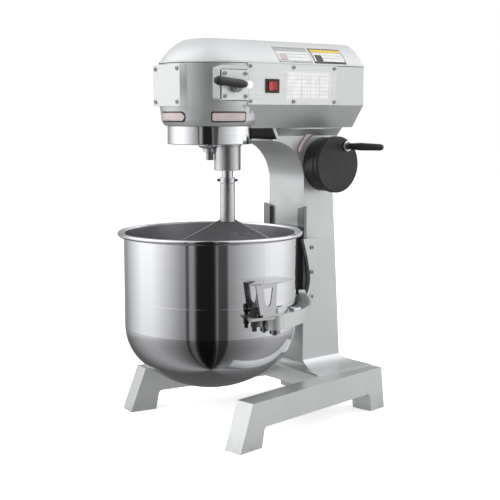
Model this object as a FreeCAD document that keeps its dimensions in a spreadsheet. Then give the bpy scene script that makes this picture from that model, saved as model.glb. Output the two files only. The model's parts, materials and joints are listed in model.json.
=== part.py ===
import FreeCAD, Part
import math
import os
import re

import Sketcher

# Commercial stand mixer, planetary type, 25 litre class.
# Frame: +Z up, +X towards the hand wheel side, -Y towards the operator, floor at z = 0.
# The origin is the middle of the machine's footprint; the bowl axis stands at bowl_axis_y.
# Every piece is laid out from the bowl axis, and put() moves it into the frame.
# Lengths are millimetres and angles degrees.

SIZES = {
    # whole machine
    "bowl_axis_y": -83.0,
    "fit_gap": 0.05,
    "free_gap": 0.5,
    # legs and bridge, one casting
    "leg_splay": 8.1,
    "leg_offset": 166.0,
    "leg_half_width": 20.0,
    "leg_rear_inner": 27.6,
    "leg_top": 87.5,
    "leg_arch": 38.0,
    "toe_front": -85.0,
    "toe_top": -51.0,
    "toe_back": -28.0,
    "heel_front": 303.0,
    "heel_back": 348.5,
    "heel_top": 337.0,
    "arch_round": 9.0,
    "bridge_half_width": 125.0,
    "bridge_under": 52.0,
    "flare_half_width": 118.0,
    # column
    "column_half_width": 54.2,
    "column_front": 193.7,
    "column_base": 108.1,
    "column_back_low": 295.2,
    "column_back_high": 268.0,
    "column_top": 580.0,
    "column_wall": 8.0,
    "neck_bend": 81.7,
    "neck_start": 473.0,
    "neck_back": 291.0,
    "neck_back_start": 520.0,
    "guard_low": 558.0,
    "guard_lean": 11.0,
    "gland_seat": 292.0,
    "gland_z": 156.0,
    "slot_half_width": 15.0,
    "slot_low": 250.0,
    "slot_high": 374.0,
    # slide rails
    "rail_inner": 43.5,
    "rail_outer": 63.6,
    "rail_thick": 7.5,
    "rail_low": 216.0,
    "rail_high": 424.0,
    # head
    "head_half_width": 95.4,
    "head_back": 316.0,
    "head_seam": 700.7,
    "head_band_low": 624.0,
    "head_under": 580.0,
    "head_under_half": 64.0,
    "head_wall": 6.0,
    "gearbox_wall": 72.0,
    "floor_level": 584.6,
    "cover_wall": 3.0,
    "cover_top": 749.0,
    "cover_shoulder_x": 48.0,
    "cover_shoulder_z": 745.0,
    "cover_side_round": 98.0,
    # nose
    "nose_front": 97.0,
    "nose_half_width": 43.0,
    "nose_low": 621.0,
    "nose_high": 697.5,
    "nose_plate_thick": 2.5,
    # control panel, switch and speed lever
    "panel_front": 16.0,
    "panel_back": 239.6,
    "panel_thick": 2.0,
    "switch_y": 74.0,
    "switch_z": 659.0,
    "switch_length": 33.0,
    "switch_height": 26.0,
    "shift_y": -18.0,
    "shift_z": 658.0,
    "shift_plate_front": -47.0,
    "shift_plate_back": 14.5,
    "shift_plate_low": 632.0,
    "shift_plate_high": 687.0,
    "shift_boss_face": 98.4,
    # planetary head
    "ring_radius": 80.7,
    "ring_bore": 76.5,
    "ring_low": 550.0,
    "orbit_radius": 33.75,
    "orbit_angle": 51.3,
    "gear_module": 2.25,
    "ring_teeth": 46,
    "ring_gear_radius": 66.0,
    "planet_teeth": 16,
    "carrier_radius": 75.5,
    "carrier_low": 553.0,
    "carrier_high": 583.0,
    "boss_radius": 25.5,
    "boss_low": 500.0,
    "main_shaft_radius": 11.0,
    "agitator_radius": 11.0,
    # beater
    "sleeve_radius": 14.7,
    "sleeve_high": 474.0,
    "sleeve_low": 401.0,
    "beater_half_width": 122.0,
    "beater_low": 158.0,
    "beater_thick": 11.0,
    "beater_bar": 13.0,
    # drive train above the planetary head
    "drive_level": 668.0,
    "spur_module": 2.0,
    "spur_centres": 54.0,
    "pinion_cone_radius": 18.75,
    "crown_cone_radius": 37.5,
    "shaft_radius": 9.0,
    "motor_x": 40.0,
    "motor_z": 652.0,
    "motor_radius": 42.0,
    "motor_front": 168.0,
    "motor_back": 262.0,
    "pulley_front": 272.0,
    "pulley_width": 16.0,
    "motor_pulley_radius": 18.0,
    "driven_pulley_radius": 30.0,
    "belt_thick": 4.0,
    # bowl
    "bowl_radius": 166.7,
    "bowl_wall": 2.0,
    "bowl_low": 78.0,
    "dish_height": 123.0,
    "knuckle_radius": 95.0,
    "bowl_rim": 383.7,
    "rim_radius": 174.6,
    "rim_bead": 4.4,
    # yoke
    "arm_low": 217.0,
    "arm_high": 244.0,
    "arm_outer": 195.0,
    "arm_inner": 171.7,
    "arm_end": 5.0,
    "arm_boss_radius": 17.0,
    "pin_x": 182.5,
    "pin_y": 11.0,
    "pin_radius": 6.0,
    "yoke_top": 359.3,
    "yoke_plate_inner": 64.6,
    "yoke_plate_outer": 72.5,
    "yoke_web_front": 177.0,
    "lug_low": 262.0,
    "lug_high": 302.0,
    # bowl ears and clamps
    "ear_top": 306.0,
    "ear_sheet": 3.0,
    "ear_face": 190.5,
    "ear_foot": 4.0,
    "clamp_x": 181.0,
    "clamp_y": -36.0,
    "clamp_spindle": 4.5,
    # bowl lift
    "wheel_y": 245.0,
    "wheel_z": 506.5,
    "wheel_radius": 56.2,
    "wheel_face": 98.6,
    "wheel_thick": 13.0,
    "housing_radius": 54.0,
    "housing_face": 84.0,
    "crank_dy": 23.2,
    "crank_dz": 36.3,
    "crank_end": 198.0,
    "lift_cone_radius": 16.0,
    "screw_radius": 9.0,
    "screw_low": 128.0,
}

doc = FreeCAD.newDocument("StandMixer")
sheet = doc.addObject("Spreadsheet::Sheet", "Sizes")
for row, (alias, size) in enumerate(SIZES.items(), 1):
    sheet.set(f"A{row}", alias)
    sheet.set(f"B{row}", str(size))
    sheet.setAlias(f"B{row}", alias)
doc.recompute()

pieces = {}  # node name: document object
X_AXIS = FreeCAD.Vector(1, 0, 0)
Y_AXIS = FreeCAD.Vector(0, 1, 0)
Z_AXIS = FreeCAD.Vector(0, 0, 1)
UPRIGHT = FreeCAD.Rotation()
ALONG_X = FreeCAD.Rotation(Y_AXIS, 90)
ALONG_Y = FreeCAD.Rotation(X_AXIS, -90)
TO_FRONT = FreeCAD.Rotation(X_AXIS, 90)  # local x across, y up and z towards the operator
TO_SIDE = FreeCAD.Rotation(Z_AXIS, 90).multiply(TO_FRONT)  # the same on the hand wheel side


# ---------------------------------------------------------------- helpers

def bound(text):
    """An expression in the sheet's words, as other objects must write it."""
    return re.sub(r"[a-z]\w+", lambda word: f"Sizes.{word.group()}" if word.group() in SIZES
                  else word.group(), str(text))


def value(text):
    """The number that an expression gives with the present sizes."""
    return float(sheet.evalExpression(bound(text)))


def bind(thing, **properties):
    """Tie an object's sizes to the sheet."""
    for name, text in properties.items():
        thing.setExpression(name, bound(text))
    return thing


def put(thing, x=0, y=0, z=0, turn=UPRIGHT):
    """Place a piece from the bowl axis, with its position tied to the sheet."""
    thing.Placement = FreeCAD.Placement(FreeCAD.Vector(), turn)
    bind(thing, **{"Placement.Base.x": x, "Placement.Base.y": f"({y}) + bowl_axis_y",
                   "Placement.Base.z": z})
    return thing


def piece(name, thing):
    """Name a finished sub-part."""
    thing.Label = name
    pieces[name] = thing
    return thing


def new_body(name):
    body = doc.addObject("PartDesign::Body", "Body")
    body.Label = name
    body.AllowCompound = True
    return body


def new_sketch(body, role, offset=0):
    """A sketch on one of the body's own origin planes, offset along the plane's normal."""
    sketch = body.newObject("Sketcher::SketchObject", "Sketch")
    plane = next(item for item in body.Origin.OriginFeatures if item.Role == role)
    sketch.AttachmentSupport = (plane, "")
    sketch.MapMode = "FlatFace"
    bind(sketch, **{"AttachmentOffset.Base.z": offset})
    return sketch


def draw(sketch, corners):
    """A closed outline. A corner is (x, y), or (x, y, radius) when an arc leaves it.

    A positive radius bulges to the right of the way to the next corner.
    """
    points = [FreeCAD.Vector(value(c[0]), value(c[1]), 0) for c in corners]
    first = sketch.GeometryCount
    count = len(corners)
    for i, corner in enumerate(corners):
        start, end = points[i], points[(i + 1) % count]
        if len(corner) == 2:
            sketch.addGeometry(Part.LineSegment(start, end))
            continue
        radius = value(corner[2])
        chord = end - start
        side = FreeCAD.Vector(chord.y, -chord.x, 0).normalize() * math.copysign(1, radius)
        depth = abs(radius) - math.sqrt(radius ** 2 - (chord.Length / 2) ** 2)
        middle = (start + end) * 0.5 + side * depth
        arc = Part.Arc(start, middle, end) if radius > 0 else Part.Arc(end, middle, start)
        sketch.addGeometry(arc)

    ends = []  # of each edge, the point that comes first along the outline and the one after it
    for i, edge in enumerate(sketch.Geometry[first:]):
        forward = (edge.StartPoint - points[i]).Length < (edge.EndPoint - points[i]).Length
        ends.append((1, 2) if forward else (2, 1))
    for i, corner in enumerate(corners):
        following = (i + 1) % count
        sketch.addConstraint(Sketcher.Constraint(
            "Coincident", first + i, ends[i][1], first + following, ends[following][0]))
        for kind, text, number in (("DistanceX", corner[0], points[i].x),
                                   ("DistanceY", corner[1], points[i].y)):
            constraint = sketch.addConstraint(
                Sketcher.Constraint(kind, -1, 1, first + i, ends[i][0], number))
            sketch.setExpression(f"Constraints[{constraint}]", bound(text))
        if len(corner) == 3:
            constraint = sketch.addConstraint(
                Sketcher.Constraint("Radius", first + i, abs(value(corner[2]))))
            sketch.setExpression(f"Constraints[{constraint}]", bound(f"abs({corner[2]})"))


def draw_circle(sketch, x, y, radius):
    circle = sketch.addGeometry(Part.Circle(
        FreeCAD.Vector(value(x), value(y), 0), Z_AXIS, value(radius)))
    for kind, text in (("DistanceX", x), ("DistanceY", y)):
        constraint = sketch.addConstraint(
            Sketcher.Constraint(kind, -1, 1, circle, 3, value(text)))
        sketch.setExpression(f"Constraints[{constraint}]", bound(text))
    constraint = sketch.addConstraint(Sketcher.Constraint("Radius", circle, value(radius)))
    sketch.setExpression(f"Constraints[{constraint}]", bound(radius))


def mirrored(corners):
    """The outline of a shape that is the same on both sides of x = 0, from its right half."""
    left = [("-(%s)" % c[0], c[1]) for c in reversed(corners) if value(c[0]) > 0]
    return list(corners) + left


def padded(name, role, outlines, length, offset=0, circles=()):
    """A body padded from outlines; what lies inside another outline is a hole."""
    body = new_body(name)
    sketch = new_sketch(body, role, offset)
    for corners in outlines:
        draw(sketch, corners)
    for circle in circles:
        draw_circle(sketch, *circle)
    pad = body.newObject("PartDesign::Pad", "Pad")
    pad.Profile = sketch
    bind(pad, Length=length)
    return body


def slab(name, outlines, low, high, circles=()):
    """A piece of constant plan, from z = low to z = high."""
    return padded(name, "XY_Plane", outlines, f"({high}) - ({low})", low, circles)


def side_pad(name, outlines, half_width, circles=()):
    """A piece of constant side view (y, z), half_width to each side of x = 0."""
    body = padded(name, "YZ_Plane", outlines, f"2 * ({half_width})", f"-({half_width})", circles)
    return body


def front_pad(name, outlines, front, back, circles=()):
    """A piece of constant front view (x, z), from y = front to y = back."""
    body = padded(name, "XZ_Plane", outlines, f"({back}) - ({front})", f"-({back})", circles)
    return body


def turned(name, corners, angle=360):
    """A body turned about z from its half section (radius, z)."""
    body = new_body(name)
    sketch = new_sketch(body, "XZ_Plane")
    draw(sketch, corners)
    revolution = body.newObject("PartDesign::Revolution", "Revolution")
    revolution.Profile = sketch
    revolution.ReferenceAxis = (sketch, ["V_Axis"])
    revolution.Angle = angle
    return body


def ring_section(inner, outer, low, high):
    """The half section of a plain tube."""
    return [(inner, low), (outer, low), (outer, high), (inner, high)]


def dome(reach, rise):
    """The radius of an arc that is centred on the axis and rises this much from reach to the axis."""
    return f"(({reach}) ^ 2 + ({rise}) ^ 2) / (2 * ({rise}))"


def steps(*sizes):
    """The half section of a stepped shaft, from (radius, z) where each step starts and the end z."""
    corners = [(0, sizes[0][1])]
    for here, after in zip(sizes[:-1], sizes[1:]):
        corners += [(here[0], here[1]), (here[0], after[1])]
    return corners + [(0, sizes[-1][1])]


def cylinder(radius, height):
    return bind(doc.addObject("Part::Cylinder", "Cylinder"), Radius=radius, Height=height)


def block(length, width, height):
    return bind(doc.addObject("Part::Box", "Box"), Length=length, Width=width, Height=height)


def block_between(x1, x2, y1, y2, z1, z2):
    """A box from its limits, laid out from the bowl axis."""
    box = block(f"({x2}) - ({x1})", f"({y2}) - ({y1})", f"({z2}) - ({z1})")
    return put(box, x1, y1, z1)


def fused(*shapes):
    fuse = doc.addObject("Part::MultiFuse", "Fusion")
    fuse.Shapes = list(shapes)
    fuse.Refine = True
    return fuse


def less(base, *tools):
    cut = doc.addObject("Part::Cut", "Cut")
    cut.Base = base
    cut.Tool = tools[0] if len(tools) == 1 else fused(*tools)
    cut.Refine = True
    return cut


def shared(first, second):
    common = doc.addObject("Part::Common", "Common")
    common.Base = first
    common.Tool = second
    return common


def together(*shapes):
    """One node of several separate solids."""
    compound = doc.addObject("Part::Compound", "Compound")
    compound.Links = list(shapes)
    return compound


def screws(places, shank_radius, depth, head_radius, head_height, x, y, turn):
    """A group of equal pan head screws: places are (across, up) in the plane of their seat.

    The heads stand on the seat along the local +z, and the shanks reach into it.
    """
    body = new_body("screws")
    for radius, length, offset in ((shank_radius, depth, f"-({depth})"),
                                   (head_radius, head_height, 0)):
        sketch = new_sketch(body, "XY_Plane", offset)
        for across, up in places:
            draw_circle(sketch, across, up, radius)
        pad = body.newObject("PartDesign::Pad", "Pad")
        pad.Profile = sketch
        bind(pad, Length=length)
    return put(body, x, y, 0, turn)


def gear_wire(teeth, module, backlash, addendum=1.0, dedendum=1.25):
    """A spur gear's outline: involute flanks at 20 degrees, with tooth 0 centred on +x.

    A ring gear's spaces are the teeth of such a gear with addendum and dedendum exchanged.
    """
    pitch = module * teeth / 2
    base = pitch * math.cos(math.radians(20))
    tip = pitch + addendum * module
    root = pitch - dedendum * module
    start = max(base, root)

    def involute(angle):
        return math.tan(angle) - angle

    half = math.pi / (2 * teeth) - backlash / (2 * pitch) + involute(math.radians(20))

    def at(radius, angle):
        return FreeCAD.Vector(radius * math.cos(angle), radius * math.sin(angle), 0)

    flank = [start + (tip - start) * i / 5 for i in range(6)]
    spread = [half - involute(math.acos(base / radius)) for radius in flank]
    edges = []
    for number in range(teeth):
        middle = 2 * math.pi * number / teeth
        step = 2 * math.pi / teeth
        rise = [at(r, middle - a) for r, a in zip(flank, spread)]
        fall = [at(r, middle + a) for r, a in zip(reversed(flank), reversed(spread))]
        foot_in, foot_out = at(root, middle - spread[0]), at(root, middle + spread[0])
        if start > root:
            edges.append(Part.LineSegment(foot_in, rise[0]).toShape())
        edges.append(spline(rise))
        edges.append(Part.Arc(rise[-1], at(tip, middle), fall[0]).toShape())
        edges.append(spline(fall))
        if start > root:
            edges.append(Part.LineSegment(fall[-1], foot_out).toShape())
        next_foot = at(root, middle + step - spread[0])
        edges.append(Part.Arc(foot_out, at(root, middle + step / 2), next_foot).toShape())
    return Part.Wire(edges)


def spline(points):
    curve = Part.BSplineCurve()
    curve.interpolate(points)
    return curve.toShape()


def spur(teeth, module, width, bore, backlash=0.25):
    """A spur gear's shape, from z = 0, with a bore."""
    outline = Part.Face(gear_wire(teeth, module, backlash))
    gear = outline.extrude(FreeCAD.Vector(0, 0, width))
    return gear.cut(Part.makeCylinder(bore, width))


def shaped(shape, x=0, y=0, z=0, turn=UPRIGHT, spin=0):
    """A feature that holds a shape made by Part's own functions."""
    feature = doc.addObject("Part::Feature", "Feature")
    feature.Shape = shape.removeSplitter()
    put(feature, x, y, z, turn.multiply(FreeCAD.Rotation(Z_AXIS, spin)))
    return feature


# ---------------------------------------------------------------- base and column

def make_base():
    """Two splayed legs, the bridge between their heels and the flare up to the column."""
    side = [("toe_front", 0), ("toe_back", 0), ("toe_back + 6", "leg_arch - arch_round", "-arch_round"),
            ("toe_back + 6 + arch_round", "leg_arch"),
            ("heel_front - 4 - arch_round", "leg_arch", "-arch_round"),
            ("heel_front - 4", "leg_arch - arch_round"),
            ("heel_front", 0), ("heel_back", 0), ("heel_top", "leg_top"), ("toe_top", "leg_top")]
    legs = []
    for sign in (1, -1):
        turn = FreeCAD.Rotation(Z_AXIS, sign * value("leg_splay"))
        profile = side_pad("leg_side", [side], "2 * leg_half_width")
        plan = [(f"{sign} * leg_half_width", "toe_front"), (f"{sign} * leg_half_width", "heel_back"),
                (f"-{sign} * leg_rear_inner", "heel_back"), (f"-{sign} * leg_half_width", "toe_front")]
        outline = slab("leg_plan", [plan], 0, "leg_top")
        for shape in (profile, outline):
            put(shape, f"{sign} * leg_offset", 0, 0, turn)
        legs.append(shared(profile, outline))
    bridge = block_between("-bridge_half_width", "bridge_half_width", "column_front",
                           "heel_front + 8", "bridge_under", "leg_top")
    flare = new_body("flare")
    sections = []
    for height, half_width, front, back in (
            ("leg_top", "flare_half_width", "column_front - 14", "heel_top - 4"),
            ("leg_top + 5", "column_half_width + 27", "column_front - 4", "column_back_low + 23"),
            ("leg_top + 12", "column_half_width + 8", "column_front", "column_back_low + 8"),
            ("column_base", "column_half_width", "column_front", "column_back_low")):
        section = new_sketch(flare, "XY_Plane", height)
        draw(section, [(f"-({half_width})", front), (half_width, front), (half_width, back),
                       (f"-({half_width})", back)])
        sections.append(section)
    loft = flare.newObject("PartDesign::AdditiveLoft", "Loft")
    loft.Profile = sections[0]
    loft.Sections = sections[1:]
    put(flare)
    piece("base_casting", fused(*legs, bridge, flare))


def make_column():
    """The hollow column, with the neck that sweeps forward under the head."""
    neck_front = "column_front - neck_bend"
    outline = [("column_front", "column_base"), ("column_back_low", "column_base"),
               ("column_back_high", "neck_back_start", "-70"), ("neck_back", "column_top"),
               (neck_front, "column_top"), (f"{neck_front} + guard_lean", "guard_low"),
               (neck_front, "guard_low"), (neck_front, "neck_start + neck_bend", "-neck_bend"),
               ("column_front", "neck_start")]
    hollow = [("column_front + column_wall", "column_base"),
              ("column_back_low - column_wall", "column_base"),
              ("column_back_high - column_wall", "neck_back_start"),
              ("column_back_high - column_wall", "column_top - 2"),
              ("column_front - neck_bend / 2", "column_top - 2"),
              ("column_front + column_wall", "neck_start + 6")]
    shell = put(side_pad("column_shell", [outline], "column_half_width"))
    core = put(side_pad("column_core", [hollow], "column_half_width - column_wall"))
    slot = block_between("-slot_half_width", "slot_half_width", "column_front - 1",
                         "column_front + column_wall + 1", "slot_low", "slot_high")
    wheel_bore = put(cylinder(13, 60), "column_half_width - 20", "wheel_y", "wheel_z", ALONG_X)
    shaft_room = put(cylinder(15, 500), 0, "wheel_y", "column_base")
    webs = [block_between("1 - column_half_width", "column_half_width - 1", "wheel_y - 20",
                          "wheel_y + 20", low, f"{low} + 8")
            for low in ("screw_low - 12", "wheel_z - lift_cone_radius - 20")]
    gland_bore = put(cylinder(8, 30), 0, "gland_seat - 20", "gland_z", ALONG_Y)
    gland_face = put(cylinder(12.5, 10), 0, "gland_seat", "gland_z", ALONG_Y)
    piece("column_casting", less(fused(less(shell, core, slot), *webs),
                                 shaft_room, wheel_bore, gland_bore, gland_face))


def make_rails():
    """Two flat steel rails on the column's front, wider than the column so the yoke can grip them."""
    rails = []
    for sign in (1, -1):
        outline = [(f"{sign} * rail_inner", "rail_low"), (f"{sign} * rail_outer", "rail_low"),
                   (f"{sign} * rail_outer", "rail_high"), (f"{sign} * rail_inner", "rail_high - 6")]
        rails.append(put(front_pad("rail", [outline], "column_front - rail_thick", "column_front")))
    piece("slide_rails", together(*rails))
    places = [(f"{sign} * (rail_inner + 5)", height) for sign in (1, -1)
              for height in ("rail_low + 18", "rail_high - 62")]
    piece("rail_screws", screws(places, 2.5, "rail_thick + 4", 4, 2.5,
                                0, "column_front - rail_thick + 2.5", TO_FRONT))


# ---------------------------------------------------------------- head

def cover_section(inset):
    """Half outline (x, z) of the cover's arched top, moved inwards by inset.

    The crown's centre is on x = 0, so the round front can be turned from the same outline.
    """
    half = f"cover_shoulder_x - {inset}"
    return [(0, "head_seam"), (f"head_half_width - {inset}", "head_seam", "cover_side_round"),
            (half, f"cover_shoulder_z - {inset}", dome(half, "cover_top - cover_shoulder_z")),
            (0, f"cover_top - {inset}")]


def arched(name, inset, back):
    """The cover's solid shape: a straight rear with a round front of the same section."""
    front = turned(name + "_front", cover_section(inset))
    half = cover_section(inset)
    left = [("-(%s)" % half[2][0], half[2][1], half[1][2]),
            ("-(%s)" % half[1][0], half[1][1])]
    outline = [half[1], half[2], (half[3][0], half[3][1], half[2][2])] + left
    rear = front_pad(name + "_rear", [outline], 0, back)
    return fused(put(front), put(rear))


def make_head():
    """The gear housing under the seam: band, sloping underside, round front, bosses."""
    section = [("head_under_half", "head_under"), ("head_half_width", "head_band_low"),
               ("head_half_width", "head_seam")]
    trunk = put(front_pad("trunk", [mirrored(section)], 0, "head_back"))
    nose_round = put(turned("head_round", [
        (0, "floor_level"), ("ring_radius + 3", "floor_level", 14),
        ("head_half_width - 3.5", "floor_level + 13"), ("head_half_width", "head_band_low"),
        ("head_half_width", "head_seam"), (0, "head_seam")]))
    nose = block_between("-nose_half_width", "nose_half_width", "-nose_front", 0,
                         "nose_low", "nose_high")
    shift_low, shift_high = "shift_plate_low - 2", "shift_plate_high + 8"
    shift_front, shift_back = "shift_plate_front - 5", "panel_front - 1"
    boss = put(side_pad("shift_boss", [[
        (shift_front, f"{shift_low} + 8", 8), (f"{shift_front} + 8", shift_low),
        (shift_back, shift_low), (shift_back, shift_high),
        (f"{shift_front} + 8", shift_high, 8), (shift_front, f"{shift_high} - 8")]],
        "shift_boss_face"))
    boss = shared(boss, block_between(0, "shift_boss_face", "shift_plate_front - 20", "panel_front",
                                      shift_low, shift_high))
    inside = [("head_under_half - head_wall", "head_under + head_wall"),
              ("head_half_width - head_wall", "head_band_low + head_wall / 2"),
              ("head_half_width - head_wall", "head_seam + 1")]
    core = put(front_pad("trunk_core", [mirrored(inside)], "gearbox_wall", "head_back - head_wall"))
    core_high = block_between("head_wall - head_half_width", "head_half_width - head_wall", 0,
                              "gearbox_wall + 1", "head_band_low + 4", "head_seam + 1")
    core_round = put(turned("round_core", [
        (0, "floor_level - 1"), ("ring_gear_radius", "floor_level - 1"),
        ("ring_gear_radius", "floor_level + 22"), ("head_half_width - 15", "floor_level + 22"),
        ("head_half_width - 11", "floor_level + 30"),
        ("head_half_width - head_wall", "head_band_low + 4"),
        ("head_half_width - head_wall", "head_seam + 1"), (0, "head_seam + 1")]))
    ring_room = put(cylinder("ring_radius + free_gap", 20), 0, 0, "floor_level - 20")
    shaft_bore = put(cylinder("8 + fit_gap", 40), "head_half_width - 20", "shift_y", "shift_z",
                     ALONG_X)
    switch_bore = block_between("head_half_width - 20", "head_half_width + 1",
                                "switch_y - switch_length / 2 + 2.5",
                                "switch_y + switch_length / 2 - 2.5",
                                "switch_z - switch_height / 2 + 2.5",
                                "switch_z + switch_height / 2 - 2.5")
    piece("head_casting", less(fused(trunk, nose_round, nose, boss),
                               core, core_high, core_round, ring_room, shaft_bore, switch_bore))
    outer = arched("cover", 0, "head_back")
    inner = arched("cover_core", "cover_wall", "head_back - cover_wall")
    piece("top_cover", less(outer, inner))


def make_nose_plate():
    """A square plate with a screw in each corner closes the attachment hub."""
    plate = front_pad("nose_plate", [[
        ("-nose_half_width", "nose_low"), ("nose_half_width", "nose_low"),
        ("nose_half_width", "nose_high"), ("-nose_half_width", "nose_high")]],
        "-nose_front - nose_plate_thick", "-nose_front")
    piece("nose_cover", put(plate))
    places = [(f"{sx} * (nose_half_width - 8)", height) for sx in (1, -1)
              for height in ("nose_low + 8", "nose_high - 8")]
    return screws(places, 2, 12, 3.8, 2, 0, "-nose_front - nose_plate_thick", TO_FRONT)


def rectangle(x1, x2, y1, y2):
    return [(x1, y1), (x2, y1), (x2, y2), (x1, y2)]


def make_panel():
    """The control panel, its screws, and the rocker switch."""
    window = rectangle("switch_y - switch_length / 2 + 2.5", "switch_y + switch_length / 2 - 2.5",
                       "switch_z - switch_height / 2 + 2.5", "switch_z + switch_height / 2 - 2.5")
    frame = rectangle("panel_front", "panel_back", "head_band_low", "head_seam")
    plate = padded("panel", "XY_Plane", [frame, window], "panel_thick")
    piece("control_panel", put(plate, "head_half_width", 0, 0, TO_SIDE))
    places = [(across, up) for across in ("panel_front + 6", "(panel_front + panel_back) / 2",
                                          "panel_back - 6")
              for up in ("head_band_low + 6", "head_seam - 6")]
    panel_screws = screws(places, 1.8, 7, 3.6, 1.8, "head_half_width + panel_thick", 0, TO_SIDE)

    bezel = [rectangle("-switch_length / 2", "switch_length / 2", "-switch_height / 2",
                       "switch_height / 2"),
             rectangle("-switch_length / 2 + 5", "switch_length / 2 - 5",
                       "-switch_height / 2 + 4", "switch_height / 2 - 4")]
    case = [rectangle("-switch_length / 2 + 2.8", "switch_length / 2 - 2.8",
                      "-switch_height / 2 + 2.8", "switch_height / 2 - 2.8"),
            rectangle("-switch_length / 2 + 5", "switch_length / 2 - 5",
                      "-switch_height / 2 + 4", "switch_height / 2 - 4")]
    rim = padded("switch_rim", "XY_Plane", bezel, 2.5)
    barrel = padded("switch_barrel", "XY_Plane", case, 16, -16)
    back = padded("switch_back", "XY_Plane", [case[0]], 3, -19)
    for shape in (rim, barrel, back):
        put(shape, "head_half_width + panel_thick", "switch_y", "switch_z", TO_SIDE)
    piece("switch_housing", fused(rim, barrel, back))
    half = "(switch_length / 2 - 6.4)"
    rocker = padded("rocker", "XZ_Plane", [[
        (f"-{half}", -7), (f"-{half} - 0.1", 4.2, "60"), (0, 2.2, "60"), (f"{half} + 0.1", 4.2),
        (half, -7)]], "switch_height - 9.2", "-(switch_height - 9.2) / 2")
    piece("rocker_button", put(rocker, "head_half_width + panel_thick", "switch_y", "switch_z",
                               TO_SIDE))
    return panel_screws


def make_shift_lever():
    """The speed lever: a crank on the boss plate, with its shaft and finger inside the head."""
    face = rectangle("shift_plate_front", "shift_plate_back", "shift_plate_low", "shift_plate_high")
    plate = padded("shift_plate", "XY_Plane", [face], 2.5,
                   circles=[("shift_y", "shift_z", "8 + fit_gap")])
    piece("shift_plate", put(plate, "shift_boss_face", 0, 0, TO_SIDE))
    places = [(across, up) for across in ("shift_plate_front + 7", "shift_plate_back - 7")
              for up in ("shift_plate_low + 7", "shift_plate_high - 7")]
    plate_screws = screws(places, 1.8, 9, 3.8, 2, "shift_boss_face + 2.5", 0, TO_SIDE)

    shaft = put(cylinder(8, "shift_boss_face + 14 - 62"), 62, "shift_y", "shift_z", ALONG_X)
    hub = put(cylinder(12, 9), "shift_boss_face + 3.2", "shift_y", "shift_z", ALONG_X)
    crank = padded("shift_crank", "XY_Plane", [[
        ("shift_y", "shift_z - 10", -24), ("shift_y + 25", "shift_z - 4"),
        ("shift_y + 25", "shift_z + 6"), ("shift_y", "shift_z + 4")]], 6)
    put(crank, "shift_boss_face + 6", 0, 0, TO_SIDE)
    ball = put(bind(doc.addObject("Part::Sphere", "Sphere"), Radius=7.5),
               "shift_boss_face + 14", "shift_y + 24", "shift_z + 2")
    finger = put(block(8, 9, 24), 62, "shift_y - 4.5", "shift_z - 24")
    piece("shift_lever", fused(shaft, hub, crank, ball, finger))
    grip = turned("grip", [(0, 0), (5.5, 0), (7.6, 8), (8.2, 62), (8.2, 66), (5.5, 72, dome(5.5, 1.5)),
                            (0, 73.5)])
    forward = FreeCAD.Rotation(Z_AXIS, FreeCAD.Vector(0.06, -0.995, 0.085))
    put(grip, "shift_boss_face + 14.5", "shift_y + 16.6", "shift_z + 2.6", forward)
    socket = put(bind(doc.addObject("Part::Sphere", "Sphere"), Radius=7.6),
                 "shift_boss_face + 14", "shift_y + 24", "shift_z + 2")
    piece("shift_grip", less(grip, socket))
    return plate_screws


def make_motor():
    """The motor stands in the rear of the head and drives the gearbox by a flat belt."""
    housing = turned("motor_can", [
        (9, 0), ("motor_radius - 8", 0), ("motor_radius", 8),
        ("motor_radius", "motor_back - motor_front - 8"),
        ("motor_radius - 8", "motor_back - motor_front"), (9, "motor_back - motor_front"),
        (9, "motor_back - motor_front - 10"), ("motor_radius - 6", "motor_back - motor_front - 10"),
        ("motor_radius - 6", 10), (9, 10)])
    put(housing, "motor_x", "motor_front", "motor_z", ALONG_Y)
    foot = block_between("motor_x - 30", "motor_x + 18", "motor_front + 20", "motor_back - 20",
                         "head_under + head_wall", "motor_z - motor_radius + 4")
    piece("motor_housing", fused(housing, foot))
    rotor = turned("rotor", steps(
        ("9 - fit_gap", 1), ("motor_radius - 7", 14), ("9 - fit_gap", "motor_back - motor_front - 14"),
        ("9 - fit_gap", "pulley_front + pulley_width - motor_front")))
    piece("motor_rotor", put(rotor, "motor_x", "motor_front", "motor_z", ALONG_Y))
    for name, x, z, radius in (("motor_pulley", "motor_x", "motor_z", "motor_pulley_radius"),
                               ("driven_pulley", "-spur_centres", "drive_level",
                                "driven_pulley_radius")):
        pulley = turned(name, [
            (9, 0), (f"{radius} + 4", 0), (f"{radius} + 4", 2.5), (radius, 2.5),
            (radius, "pulley_width - 2.5"), (f"{radius} + 4", "pulley_width - 2.5"),
            (f"{radius} + 4", "pulley_width"), (9, "pulley_width")])
        piece(name, put(pulley, x, "pulley_front", z, ALONG_Y))
    piece("drive_belt", shaped(belt_shape(), 0, "pulley_front + 3.5", 0, ALONG_Y))


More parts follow.
